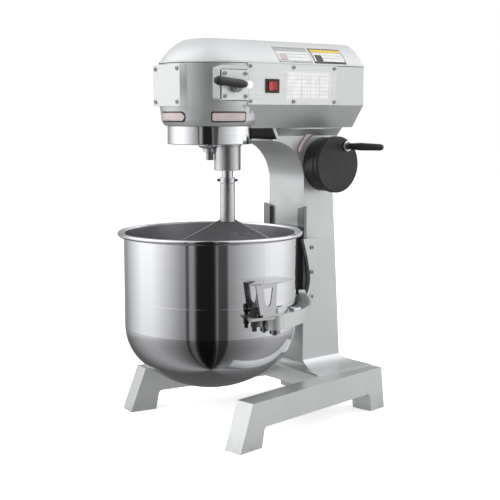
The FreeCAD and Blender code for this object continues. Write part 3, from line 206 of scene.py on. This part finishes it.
def mesh_object(name, bm, smooth=True):
    mesh = bpy.data.meshes.new(name)
    bm.normal_update()
    bm.to_mesh(mesh)
    bm.free()
    for face in mesh.polygons:
        face.use_smooth = smooth
    made = bpy.data.objects.new(name, mesh)
    bpy.context.scene.collection.objects.link(made)
    return made


STAGE_SIDES = 96


def circle(bm, radius, height):
    turns = [2 * math.pi * i / STAGE_SIDES for i in range(STAGE_SIDES)]
    return [bm.verts.new((radius * math.cos(turn), radius * math.sin(turn), height)) for turn in turns]


def disc_mesh(name, radius, height):
    bm = bmesh.new()
    bm.faces.new(circle(bm, radius, height))
    return mesh_object(name, bm)


def shell_mesh(name, radius, height):
    """The wall of a round room, closed on top, seen from the inside."""
    bm = bmesh.new()
    rows = [circle(bm, *level) for level in ((radius, -0.5), (radius, height), (radius * 0.7, height * 2))]
    for low, high in zip(rows[:-1], rows[1:]):
        for i in range(STAGE_SIDES):
            j = (i + 1) % STAGE_SIDES
            bm.faces.new((low[j], low[i], high[i], high[j]))
    bm.faces.new(list(reversed(rows[-1])))
    return mesh_object(name, bm)


# ---------------------------------------------------------------- materials

class Surface:
    """A material and the short calls that build its node tree."""

    def __init__(self, name, **settings):
        self.material = bpy.data.materials.new(name)
        self.material.use_nodes = True
        self.tree = self.material.node_tree
        self.shader = self.tree.nodes["Principled BSDF"]
        for socket, setting in settings.items():
            self.shader.inputs[socket.replace("_", " ")].default_value = setting
        self.place = self.tree.nodes.new("ShaderNodeTexCoord").outputs["Object"]

    def add(self, kind, **settings):
        made = self.tree.nodes.new(kind)
        for name, setting in settings.items():
            setattr(made, name, setting)
        return made

    def join(self, source, target):
        if isinstance(source, (int, float)):
            target.default_value = source
        elif isinstance(source, tuple):
            target.default_value = source if len(source) != 3 or target.type == "VECTOR" else (*source, 1)
        else:
            self.tree.links.new(source, target)

    def noise(self, scale, stretch=(1, 1, 1), detail=4.0, roughness=0.55):
        mapping = self.add("ShaderNodeMapping")
        mapping.inputs["Scale"].default_value = stretch
        self.join(self.place, mapping.inputs["Vector"])
        noise = self.add("ShaderNodeTexNoise")
        noise.inputs["Scale"].default_value = scale
        noise.inputs["Detail"].default_value = detail
        noise.inputs["Roughness"].default_value = roughness
        self.join(mapping.outputs[0], noise.inputs["Vector"])
        return noise.outputs["Fac"]

    def remap(self, factor, low, high, start=0.35, end=0.65):
        span = self.add("ShaderNodeMapRange")
        for name, setting in (("From Min", start), ("From Max", end), ("To Min", low), ("To Max", high)):
            span.inputs[name].default_value = setting
        self.join(factor, span.inputs["Value"])
        return span.outputs["Result"]

    def math(self, operation, first, second=0.0):
        made = self.add("ShaderNodeMath", operation=operation)
        self.join(first, made.inputs[0])
        self.join(second, made.inputs[1])
        return made.outputs[0]

    def blend(self, factor, first, second):
        mix = self.add("ShaderNodeMix", data_type="RGBA")
        self.join(factor, mix.inputs["Factor"])
        self.join(first, mix.inputs[6])
        self.join(second, mix.inputs[7])
        return mix.outputs[2]

    def axes(self):
        """The place in the model's frame as its X, Y and Z."""
        parts = self.add("ShaderNodeSeparateXYZ")
        self.join(self.place, parts.inputs[0])
        return parts.outputs

    def colour(self, source):
        self.join(source, self.shader.inputs["Base Color"])

    def rough(self, factor, low, high):
        self.join(self.remap(factor, low, high), self.shader.inputs["Roughness"])

    def bump(self, height, distance):
        bump = self.add("ShaderNodeBump")
        bump.inputs["Distance"].default_value = distance
        bump.inputs["Strength"].default_value = 1.0
        self.join(height, bump.inputs["Height"])
        if self.shader.inputs["Normal"].is_linked:
            self.join(self.shader.inputs["Normal"].links[0].from_socket, bump.inputs["Normal"])
        self.join(bump.outputs[0], self.shader.inputs["Normal"])


# How a noise is stretched into marks: small along the marks and large across them.
AROUND_Z = (0.35, 0.35, 60)
AROUND_X = (60, 0.35, 0.35)
ALONG_Y = (30, 0.35, 30)
LINE_SCALE = 26
BOWL_MIDDLE = Vector((0, 0, 0.35))  # above the foot of the bowl's axis


def tint(colour, amount):
    return tuple(min(1.0, part * amount) for part in colour)


def cast_paint(name, colour, metal=0.75, roughness=(0.29, 0.37)):
    """Satin silver enamel over a casting: slow clouding, orange peel, rubbed patches, and dusty patches near
    the floor whose darkening is partly painted shade.
    """
    paint = Surface(name, Metallic=metal)
    paint.shader.inputs["Coat Weight"].default_value = 0.12
    paint.shader.inputs["Coat Roughness"].default_value = 0.25
    clouds = paint.noise(5, detail=3)
    base = paint.blend(paint.remap(clouds, 0, 1), tint(colour, 0.955), tint(colour, 1.03))
    # Darker towards the floor: partly dust, partly painted shade on the base's lowest, shaded parts.
    floor_dust_and_shade = paint.remap(paint.axes()["Z"], 0.55, 0.0, 0.0, 0.035)
    dust_and_shade_mask = paint.math("MULTIPLY", floor_dust_and_shade, paint.remap(paint.noise(60), 0.2, 1.0))
    base = paint.blend(dust_and_shade_mask, base, tint(colour, 0.62))
    rubs = paint.remap(paint.noise(24, stretch=(1, 1, 3), detail=8, roughness=0.75), 0, 0.5, 0.62, 0.78)
    paint.colour(paint.blend(rubs, base, tint(colour, 0.84)))
    paint.rough(paint.noise(40, detail=6), *roughness)
    paint.bump(paint.noise(420, detail=2), 0.00003)
    paint.bump(paint.noise(45, detail=2), 0.00005)
    return paint


def brushed(name, colour, stretch, roughness=(0.22, 0.34), metal=1.0, depth=0.00002):
    """Metal with fine parallel marks; stretch is small along the marks and large across them."""
    metal_face = Surface(name, Metallic=metal)
    lines = metal_face.noise(LINE_SCALE, stretch=stretch, detail=6, roughness=0.7)
    broad = metal_face.noise(7, detail=3)
    base = metal_face.blend(metal_face.remap(lines, 0, 1), tint(colour, 0.90), tint(colour, 1.06))
    metal_face.colour(metal_face.blend(metal_face.remap(broad, 0, 0.5), base, tint(colour, 0.93)))
    metal_face.rough(metal_face.math("ADD", metal_face.math("MULTIPLY", lines, 0.7),
                                     metal_face.math("MULTIPLY", broad, 0.3)), *roughness)
    metal_face.bump(lines, depth)
    return metal_face


def spun_bowl(name, colour):
    """Polished sheet outside with faint spinning marks, and a duller scoured inside."""
    steel = Surface(name, Metallic=1.0)
    lines = steel.noise(LINE_SCALE, stretch=AROUND_Z, detail=5, roughness=0.6)
    broad = steel.noise(6, detail=3)
    normal = steel.add("ShaderNodeNewGeometry").outputs["Normal"]
    outward = steel.add("ShaderNodeVectorMath", operation="SUBTRACT")
    steel.join(steel.place, outward.inputs[0])
    outward.inputs[1].default_value = AXIS + BOWL_MIDDLE
    facing = steel.add("ShaderNodeVectorMath", operation="DOT_PRODUCT")
    steel.join(normal, facing.inputs[0])
    steel.join(outward.outputs[0], facing.inputs[1])
    inside = steel.remap(facing.outputs["Value"], 1.0, 0.0, -0.002, 0.002)
    base = steel.blend(steel.remap(lines, 0, 1), tint(colour, 0.965), tint(colour, 1.02))
    base = steel.blend(steel.remap(broad, 0, 0.5), base, tint(colour, 0.955))
    steel.colour(base)
    mixed = steel.math("ADD", steel.math("MULTIPLY", lines, 0.5), steel.math("MULTIPLY", broad, 0.5))
    outer = steel.remap(mixed, 0.065, 0.12)
    scoured = steel.math("MULTIPLY", inside, 0.20)
    steel.join(steel.math("ADD", outer, scoured), steel.shader.inputs["Roughness"])
    steel.bump(lines, 0.000004)
    return steel


def moulded(name, colour, roughness=(0.38, 0.52), grain=900, coat=0.0, depth=0.00005):
    """Moulded plastic: a fine spark grain, faint flow clouds and polished touch marks."""
    plastic = Surface(name)
    plastic.shader.inputs["Coat Weight"].default_value = coat
    plastic.shader.inputs["Coat Roughness"].default_value = 0.12
    clouds = plastic.noise(18, detail=3)
    specks = plastic.remap(plastic.noise(grain, detail=2), 0, 1)
    base = plastic.blend(plastic.remap(clouds, 0, 1), tint(colour, 0.85), tint(colour, 1.25))
    plastic.colour(plastic.blend(plastic.math("MULTIPLY", specks, 0.25), base, tint(colour, 1.7)))
    plastic.rough(plastic.noise(30, detail=5), *roughness)
    plastic.bump(plastic.noise(grain, detail=2), depth)
    return plastic


PALE_PAINT = (0.62, 0.63, 0.635)
SILVER_PAINT = (0.575, 0.585, 0.585)
STEEL = (0.66, 0.67, 0.69)
BLACK = (0.012, 0.013, 0.0125)


def make_materials():
    made = {
        "cast_paint": cast_paint("cast_paint", SILVER_PAINT),
        "cover_paint": cast_paint("cover_paint", PALE_PAINT, metal=0.2, roughness=(0.30, 0.40)),
        "plate_steel": brushed("plate_steel", (0.64, 0.65, 0.64), ALONG_Y, (0.30, 0.42), metal=0.5),
        "bowl_steel": spun_bowl("bowl_steel", (0.71, 0.71, 0.73)),
        "ear_steel": brushed("ear_steel", (0.58, 0.58, 0.59), (26, 26, 2), (0.22, 0.34)),
        "rail_steel": brushed("rail_steel", (0.24, 0.25, 0.25), (30, 30, 0.4), (0.30, 0.45)),
        "screw_steel": brushed("screw_steel", (0.36, 0.37, 0.38), (8, 8, 8), (0.22, 0.36)),
        # Black moulded plastic for the hand wheel and its grip; on the wheel's broad housing this black is
        # partly painted shade, standing for the shadow round the wheel on the column's side.
        "black_plastic": moulded("black_plastic", BLACK),
        "red_plastic": moulded("red_plastic", (0.27, 0.006, 0.010), (0.16, 0.26), coat=0.5),
        "trim_chrome": brushed("trim_chrome", (0.82, 0.83, 0.85), AROUND_Z, (0.06, 0.12), depth=0.000005),
        "cast_alloy": cast_paint("cast_alloy", (0.62, 0.62, 0.63), metal=0.95, roughness=(0.26, 0.38)),
        "machined_steel": brushed("machined_steel", STEEL, AROUND_Z, (0.16, 0.28)),
        "bush_brass": brushed("bush_brass", (0.70, 0.50, 0.24), AROUND_X, (0.24, 0.38)),
        "gear_iron": cast_paint("gear_iron", (0.20, 0.20, 0.21), metal=0.6, roughness=(0.45, 0.60)),
        "belt_rubber": moulded("belt_rubber", (0.02, 0.02, 0.02), (0.6, 0.8), grain=500),
        # Near-black guard on the neck's sloping face under the head: partly the guard's own black, partly
        # painted shade for that shaded face.
        "guard_plastic": moulded("guard_plastic", (0.02, 0.021, 0.021), (0.45, 0.6)),
    }
    return {name: surface.material for name, surface in made.items()}


# Width of the rolled or broken edges of what shows: by material slot, and by node where it is wider.
EDGES = {"cast_paint": 0.0024, "cover_paint": 0.0014, "plate_steel": 0.0005, "rail_steel": 0.0007,
         "screw_steel": 0.0005, "black_plastic": 0.0007, "red_plastic": 0.0006, "trim_chrome": 0.0005,
         "cast_alloy": 0.0010, "guard_plastic": 0.0005}
WIDE_EDGES = {"base_casting": 0.0032, "yoke": 0.0034}
PLAIN_NODES = {"motor_housing", "bowl"}


def roll_edges(thing, width):
    weld = thing.modifiers.new("weld", "WELD")
    weld.merge_threshold = 0.00002
    bevel = thing.modifiers.new("edges", "BEVEL")
    bevel.width = width
    bevel.segments = 2
    bevel.limit_method = "ANGLE"
    bevel.angle_limit = math.radians(38)
    thing.modifiers.new("shade", "WEIGHTED_NORMAL").keep_sharp = True


def dress_cad(materials):
    """Every CAD node gets its slot's material, with rolled edges as wide as its make allows."""
    slots = {part["node"]: part["material_slot"] for part in frame["record"]["subparts"]}
    for name, node in nodes.items():
        node.data.materials.clear()
        node.data.materials.append(materials["ear_steel" if "bowl_ear" in name else slots[name]])
        if slots[name] in EDGES and name not in PLAIN_NODES:
            roll_edges(node, WIDE_EDGES.get(name, EDGES[slots[name]]))


# ---------------------------------------------------------------- pieces added to the CAD nodes

def mm(x, y, z):
    """A point or length given in millimetres."""
    return Vector((x, y, z)) * 0.001


def finish_piece(thing, material, body, bevel=0.0):
    thing.data.materials.append(material)
    if bevel:
        roll_edges(thing, bevel)
    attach(thing, body)
    return thing


def lay_on(name, node, start, across, up, thickness):
    """A thin plate that follows a node's surface.

    start(s, t) gives a point outside the node and the way in, for s and t from 0 to 1.
    """
    mesh = nodes[node].data
    tree = BVHTree.FromPolygons([v.co for v in mesh.vertices], [p.vertices for p in mesh.polygons])
    bm = bmesh.new()
    top = []
    for i in range(across + 1):
        row = []
        for j in range(up + 1):
            place, way = start(i / across, j / up)
            hit = tree.ray_cast(place, way.normalized())[0]
            row.append((bm.verts.new(hit - way.normalized() * thickness), hit))
        top.append(row)
    for i in range(across):
        for j in range(up):
            bm.faces.new([top[i][j][0], top[i + 1][j][0], top[i + 1][j + 1][0], top[i][j + 1][0]])
    rim = ([(i, 0) for i in range(across)] + [(across, j) for j in range(up)]
           + [(i, up) for i in range(across, 0, -1)] + [(0, j) for j in range(up, 0, -1)])
    foot = [bm.verts.new(top[i][j][1]) for i, j in rim]
    for k, (i, j) in enumerate(rim):
        after = rim[(k + 1) % len(rim)]
        bm.faces.new([top[after[0]][after[1]][0], top[i][j][0], foot[k], foot[(k + 1) % len(rim)]])
    bmesh.ops.recalc_face_normals(bm, faces=bm.faces)
    return mesh_object(name, bm)


def bar_end(s, length, height, left, right):
    """Half height, at the share s of its length, of a bar with ends of these corner radii."""
    place = s * length
    cut = max(left - place, place - (length - right), 0.0)
    radius = left if place < length / 2 else right
    return height / 2 - (radius - math.sqrt(max(radius ** 2 - cut ** 2, 0.0)) if cut else 0.0)


def eased(s):
    """The share s with its steps closed up at both ends, where an outline's corners are round."""
    return (1 - math.cos(math.pi * s)) / 2


LABEL_CORNER = 0.0015
BESIDE = 0.3  # an x outside every piece on the right, from which the plates are laid on


def round_badge(name, first, last, low, high, left, right, inset, thickness):
    """A bar badge wrapped round the head's drum between two angles, in degrees about the axis."""
    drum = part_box("top_cover")[1].x
    length = math.radians(last - first) * drum - 2 * inset
    height = high - low - 2 * inset

    def start(s, t):
        s = eased(s)
        turn = math.radians(first) + (inset + s * length) / drum
        reach = bar_end(s, length, height, left, right)
        out = Vector((math.cos(turn), math.sin(turn), 0))
        return AXIS + out * 0.2 + Vector((0, 0, (low + high) / 2 + (2 * t - 1) * reach)), -out

    return lay_on(name, "head_casting", start, 40, 4, thickness)


def side_plate(name, node, centre, length, height, thickness):
    """A plate on the right side; centre is (y, z), and height runs along the surface's rise."""
    def start(s, t):
        s = eased(s)
        reach = bar_end(s, length, height, LABEL_CORNER, LABEL_CORNER)
        return (Vector((BESIDE, AXIS.y + centre[0] + (s - 0.5) * length, centre[1] + (2 * t - 1) * reach)),
                Vector((-1, 0, 0)))

    return lay_on(name, node, start, 24, 8, thickness)


def boxes_mesh(name, boxes):
    bm = bmesh.new()
    for low, high in boxes:
        made = bmesh.ops.create_cube(bm, size=1.0)["verts"]
        for vert in made:
            vert.co = Vector([(a + b) / 2 + c * (b - a) for a, b, c in zip(low, high, vert.co)])
    return mesh_object(name, bm, smooth=False)


def loft(bm, rows, closed):
    """Join rows of vertices, each a closed section, into a ring or a bar with two ends."""
    size = len(rows[0])
    for a, b in zip(rows, rows[1:] + (rows[:1] if closed else [])):
        for j in range(size):
            bm.faces.new([a[j], b[j], b[(j + 1) % size], a[(j + 1) % size]])
    if not closed:
        bm.faces.new(rows[0])
        bm.faces.new(list(reversed(rows[-1])))
    bmesh.ops.recalc_face_normals(bm, faces=bm.faces)


def turned_mesh(name, centre, axis, section, count=64):
    """A ring turned about an axis (0 = x, 1 = y, 2 = z) from a closed section of (radius, along)."""
    u, v = [(1, 2), (2, 0), (0, 1)][axis]
    bm = bmesh.new()
    rows = []
    for i in range(count):
        turn = 2 * math.pi * i / count
        row = []
        for radius, along in section:
            place = Vector(centre)
            place[axis] += along
            place[u] += radius * math.cos(turn)
            place[v] += radius * math.sin(turn)
            row.append(bm.verts.new(place))
        rows.append(row)
    loft(bm, rows, closed=True)
    return mesh_object(name, bm)


def round_section(radius, centre_radius, count=12):
    turns = [2 * math.pi * i / count for i in range(count)]
    return [(centre_radius + radius * math.cos(turn), radius * math.sin(turn)) for turn in turns]


def islands(node):
    """The boxes of a node's separate solids."""
    bm = bmesh.new()
    bm.from_mesh(nodes[node].data)
    bmesh.ops.remove_doubles(bm, verts=bm.verts, dist=0.00002)
    found, seen = [], set()
    for vert in bm.verts:
        if vert in seen:
            continue
        seen.add(vert)
        group, edge = [vert], [vert]
        while edge:
            for link in edge.pop().link_edges:
                for other in link.verts:
                    if other not in seen:
                        seen.add(other)
                        group.append(other)
                        edge.append(other)
        places = [v.co.copy() for v in group]
        found.append((Vector([min(p[k] for p in places) for k in range(3)]),
                      Vector([max(p[k] for p in places) for k in range(3)]), places))
    bm.free()
    return found


# A cross recess: half its reach and half its width as shares of the head's radius, and how proud it stands.
CROSS_REACH = 0.62
CROSS_WIDTH = 0.13
PROUD = 0.00006


def paint_recess_shade(name, node, material, body):
    """The cross recesses in a group of pan head screws, drawn as dark marks: painted shade in each recess."""
    boxes = []
    for low, high, places in islands(node):
        size = high - low
        axis = max(range(3), key=lambda k: size[k])
        ends = []
        for face in (low[axis], high[axis]):
            near = [p for p in places if abs(p[axis] - face) < 0.0001]
            other = (axis + 1) % 3
            ends.append(max(p[other] for p in near) - min(p[other] for p in near))
        head_is_high = ends[1] > ends[0]
        outer = high[axis] if head_is_high else low[axis]
        out = PROUD if head_is_high else -PROUD
        centre = (low + high) / 2
        radius = max(ends) / 2
        u, v = [k for k in range(3) if k != axis]
        for long_way, short_way in ((u, v), (v, u)):
            a, b = centre.copy(), centre.copy()
            a[long_way] -= radius * CROSS_REACH
            b[long_way] += radius * CROSS_REACH
            a[short_way] -= radius * CROSS_WIDTH
            b[short_way] += radius * CROSS_WIDTH
            a[axis], b[axis] = sorted((outer - 8 * out, outer + out))
            boxes.append((a, b))
    finish_piece(boxes_mesh(name, boxes), material, body)


def seam_band(name, low, high, out, material):
    """A band round the head at the cover's seam."""
    near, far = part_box("top_cover")
    drum = far.x
    back = far.y
    path = [(drum, back, 1, 0)]
    for i in range(49):
        turn = -math.pi * i / 48
        path.append((drum * math.cos(turn), AXIS.y + drum * math.sin(turn), math.cos(turn), math.sin(turn)))
    path += [(-drum, back, -1, 0), (-drum, back, 0, 1), (drum, back, 0, 1)]
    bm = bmesh.new()
    rows = []
    for x, y, nx, ny in path:
        rows.append([bm.verts.new((x + nx * o, y + ny * o, z))
                     for o, z in ((-0.001, low), (out, low), (out, high), (-0.001, high))])
    loft(bm, rows, closed=True)
    finish_piece(mesh_object(name, bm, smooth=False), material, "frame")


def printed(name, colour, roughness=(0.30, 0.45), metal=0.1):
    """Printed foil: slightly uneven ink, a fine grain and rubbed edges."""
    foil = Surface(name, Metallic=metal)
    ink = foil.noise(70, detail=5)
    base = foil.blend(foil.remap(ink, 0, 1), tint(colour, 0.93), tint(colour, 1.05))
    wear = foil.remap(foil.noise(190, detail=6, roughness=0.8), 0, 0.35, 0.64, 0.80)
    foil.colour(foil.blend(wear, base, tint(colour, 0.78)))
    foil.rough(foil.noise(120), *roughness)
    foil.bump(foil.noise(800, detail=1), 0.00001)
    return foil.material


BADGE_LOW, BADGE_HIGH = 0.5915, 0.6115
WHEEL_BADGE_RADIUS, WHEEL_BADGE_WIDTH = 0.0705, 0.0120
WHEEL_BADGE_START, WHEEL_BADGE_SWEEP = math.radians(110), math.radians(50)


def wheel_badge(name, hub, inset, thickness):
    """A bent bar with round ends on the column's side, about the hand wheel's axis."""
    length = WHEEL_BADGE_RADIUS * WHEEL_BADGE_SWEEP - 2 * inset
    tall = WHEEL_BADGE_WIDTH - 2 * inset

    def start(s, t):
        s = eased(s)
        turn = WHEEL_BADGE_START + (inset + s * length) / WHEEL_BADGE_RADIUS
        reach = WHEEL_BADGE_RADIUS + (2 * t - 1) * bar_end(s, length, tall, tall / 2, tall / 2)
        return (Vector((BESIDE, hub.y + math.cos(turn) * reach, hub.z + math.sin(turn) * reach)),
                Vector((-1, 0, 0)))

    return lay_on(name, "column_casting", start, 32, 4, thickness)


def make_badges(look):
    """Blank badges round the drum and round the hand wheel."""
    low, high = BADGE_LOW, BADGE_HIGH
    for part, ink, inset, thick in (("frame", "dark_ink", 0.0, 0.0006), ("face", "pink_ink", 0.0027, 0.0010)):
        finish_piece(round_badge(f"front_badge_{part}", -109, -65, low, high, 0.002, 0.0085, inset, thick),
                     look[ink], "frame")
        finish_piece(round_badge(f"side_badge_{part}", -35, 10, low, high, 0.004, 0.004, inset, thick),
                     look[ink], "frame")
    hub_low, hub_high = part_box("hand_wheel")
    hub = (hub_low + hub_high) / 2
    for part, ink, inset, thick in (("frame", "red_ink", 0.0, 0.0007), ("face", "pink_ink", 0.0014, 0.0011)):
        finish_piece(wheel_badge(f"wheel_badge_{part}", hub, inset, thick), look[ink], "frame")


# The table on the panel: its reach behind the bowl's axis, its heights, rows, and where its columns end.
TABLE_Y = (0.108, 0.221)
TABLE_Z = (0.6345, 0.6885)
TABLE_ROWS = 7
TABLE_COLUMNS = (0.0, 0.34, 0.56, 0.78, 1.0)


def make_labels(look):
    """Blank label plates on the cover's side and a ruled table on the panel."""
    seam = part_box("top_cover")[0].z
    for name, centre_y, edge, head in (("left_label", 0.138, "silver_ink", "silver_ink"),
                                       ("right_label", 0.2285, "dark_ink", "yellow_ink")):
        middle = seam + 0.0180
        for part, ink, size, shift, thick in (
                ("plate", edge, (0.084, 0.0310), (0, 0), 0.0006),
                ("field", "pale_ink", (0.080, 0.0270), (0, 0), 0.0009),
                ("header", head, (0.080, 0.0060), (0, 0.0105), 0.0012),
                ("footer", edge, (0.080, 0.0035), (0, -0.0117), 0.0012),
                ("rule", "grey_ink", (0.048, 0.0010), (0.009, 0.0020), 0.0012),
                ("rule_low", "grey_ink", (0.048, 0.0010), (0.009, -0.0035), 0.0012),
                ("block", "pink_ink" if name == "left_label" else "dark_ink", (0.018, 0.0120),
                 (-0.027, -0.0035), 0.0012)):
            plate = side_plate(f"{name}_{part}", "top_cover", (centre_y + shift[0], middle + shift[1]),
                               *size, thick)
            finish_piece(plate, look[ink], "frame")
    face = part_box("control_panel")[1].x
    low_y, high_y = AXIS.y + TABLE_Y[0], AXIS.y + TABLE_Y[1]
    low_z, high_z = TABLE_Z
    sheet = boxes_mesh("table_sheet", [((face - 0.0005, low_y, low_z), (face + 0.0006, high_y, high_z))])
    finish_piece(sheet, look["pale_ink"], "frame", bevel=0.0004)
    side, end, half = 0.003, 0.002, 0.00035  # the rules' margins and half their width
    rules = []
    for i in range(TABLE_ROWS + 1):
        z = low_z + end + (high_z - low_z - 2 * end) * i / TABLE_ROWS
        rules.append(((face, low_y + side, z - half), (face + 0.0008, high_y - side, z + half)))
    for share in TABLE_COLUMNS:
        y = low_y + side + (high_y - low_y - 2 * side) * share
        rules.append(((face, y - half, low_z + end), (face + 0.0008, y + half, high_z - end)))
    finish_piece(boxes_mesh("table_rules", rules), look["grey_ink"], "frame")


BOWL_SEAM = 0.257  # height of the line round the bowl
UNDER_RIM = 0.36   # a height on the bowl's straight wall, below its rolled rim
BALL_RADIUS = 0.0075


def make_trim(look, materials):
    """Seams, rings, the lever's ball and the small fittings of the bowl."""
    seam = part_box("top_cover")[0].z
    seam_band("cover_gasket", seam - 0.0009, seam + 0.0004, 0.0003, look["gasket"])
    seam_band("cover_lip", seam + 0.0004, seam + 0.0034, 0.0009, materials["cover_paint"])

    for side, sign in (("right", 1), ("left", -1)):
        head_fairing(f"head_fairing_{side}", sign, materials["cast_paint"])

    low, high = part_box("shift_lever")
    centre = Vector((high.x - BALL_RADIUS, high.y - BALL_RADIUS, high.z - 0.010))
    bm = bmesh.new()
    bmesh.ops.create_uvsphere(bm, u_segments=32, v_segments=20, radius=BALL_RADIUS + 0.0003)
    for vert in bm.verts:
        vert.co += centre
    finish_piece(mesh_object("lever_ball", bm), look["ivory"], "lever")

    low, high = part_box("shift_plate")
    wide, tall = mm(0, 1.2, -2.0), mm(0, -2.0, 1.2)
    skin = [(low - grow, Vector((low.x + 0.0012, high.y, high.z)) + grow) for grow in (wide, tall)]
    finish_piece(boxes_mesh("shift_gasket", skin), look["gasket"], "frame")

    low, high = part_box("crank_spindle")
    base = Vector((low.x, (low.y + high.y) / 2, (low.z + high.z) / 2))
    ring = turned_mesh("crank_ring", base + Vector((0.0024, 0, 0)), 0, round_section(0.0022, 0.0088))
    finish_piece(ring, materials["trim_chrome"], "wheel")
    wall = nodes["bowl"].data
    girth = max(math.hypot(v.co.x, v.co.y - AXIS.y) for v in wall.vertices if v.co.z < UNDER_RIM)
    seam_ring = turned_mesh("bowl_seam", AXIS + Vector((0, 0, BOWL_SEAM)), 2,
                            [(girth - 0.001, -0.0007), (girth + 0.0003, -0.0004),
                             (girth + 0.0003, 0.0004), (girth - 0.001, 0.0007)], 160)
    finish_piece(seam_ring, materials["bowl_steel"], "bowl_lift")
    arm_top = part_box("bowl_ear_right")[0].z
    for side, sign in (("right", 1), ("left", -1)):
        arm_sweep(f"arm_sweep_{side}", sign, arm_top, materials["cast_paint"])
        place = Vector((sign * 0.1755, AXIS.y + 0.066, arm_top))
        clip = boxes_mesh(f"ear_clip_{side}", [(place - mm(7, 9, 0.5), place + mm(7, 9, 5.5))])
        finish_piece(clip, materials["bowl_steel"], "bowl_lift", bevel=0.001)


def head_fairing(name, sign, material):
    """The casting's flow from the head's sloping underside into the column's side."""
    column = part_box("column_casting")[1]
    head_under = column.z
    half = column.x
    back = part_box("head_casting")[1].y
    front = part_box("neck_guard")[1].y + 0.001
    rows = []
    bm = bmesh.new()
    for share in (0.0, 0.25, 0.5, 0.75, 1.0):
        z = head_under + 0.001 - 0.022 * share
        x = half - 0.001 + 0.0108 * (1 - share) ** 1.6
        y = back - 0.026 - 0.008 * share
        rows.append([bm.verts.new((sign * a, b, z)) for a, b in ((half - 0.001, front), (x, front + 0.002),
                                                                (x, y), (half - 0.001, y))])
    loft(bm, rows, closed=False)
    finish_piece(mesh_object(name, bm), material, "frame")


def arm_sweep(name, sign, arm_top, material):
    """The curve by which an arm's top rises into the yoke's side plate."""
    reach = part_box("yoke")[1].x
    inner, outer = reach - 0.0228, reach - 0.0012
    steps = 18
    bm = bmesh.new()
    rows = []
    for i in range(steps + 1):
        share = i / steps
        turn = math.radians(38 + 25 * share)
        rise = 0.017 * (1 - math.sqrt(max(0.0, 1 - share ** 2)))
        edge = outer - 0.008 * share ** 2
        rows.append([bm.verts.new((sign * r * math.cos(turn), AXIS.y + r * math.sin(turn), z))
                     for r, z in ((inner, arm_top - 0.002), (edge, arm_top - 0.002),
                                  (edge, arm_top + rise + 0.0002), (inner, arm_top + rise + 0.0002))])
    loft(bm, rows, closed=False)
    finish_piece(mesh_object(name, bm), material, "bowl_lift", bevel=0.0012)


def make_inks():
    return {
        "pink_ink": printed("pink_ink", (0.50, 0.42, 0.42), metal=0.2),
        "dark_ink": printed("dark_ink", (0.045, 0.04, 0.042)),
        "red_ink": printed("red_ink", (0.13, 0.012, 0.02)),
        "grey_ink": printed("grey_ink", (0.46, 0.48, 0.53)),
        "silver_ink": printed("silver_ink", (0.42, 0.43, 0.45), metal=0.5),
        "pale_ink": printed("pale_ink", (0.74, 0.74, 0.72)),
        "yellow_ink": printed("yellow_ink", (0.72, 0.52, 0.08)),
        # Near-black ink for the screws' cross recesses: painted shade.
        "recess_shade_ink": printed("recess_shade_ink", (0.06, 0.06, 0.06), (0.5, 0.7), 0.6),
        "gasket": moulded("gasket", (0.03, 0.03, 0.03), (0.5, 0.7)).material,
        "ivory": moulded("ivory", (0.80, 0.79, 0.75), (0.18, 0.28), coat=0.4).material,
    }


bpy.context.scene.view_settings.view_transform = "Standard"
make_camera()
make_world()
make_lights()
make_stage()
materials = make_materials()
look = make_inks()
dress_cad(materials)
make_badges(look)
make_labels(look)
make_trim(look, materials)
# The screws' dark cross marks are painted shade for their recesses.
for group, body in (("head_screws", "frame"), ("rail_screws", "frame"), ("keeper_screws", "bowl_lift")):
    paint_recess_shade(group + "_recess_shade", group, look["recess_shade_ink"], body)
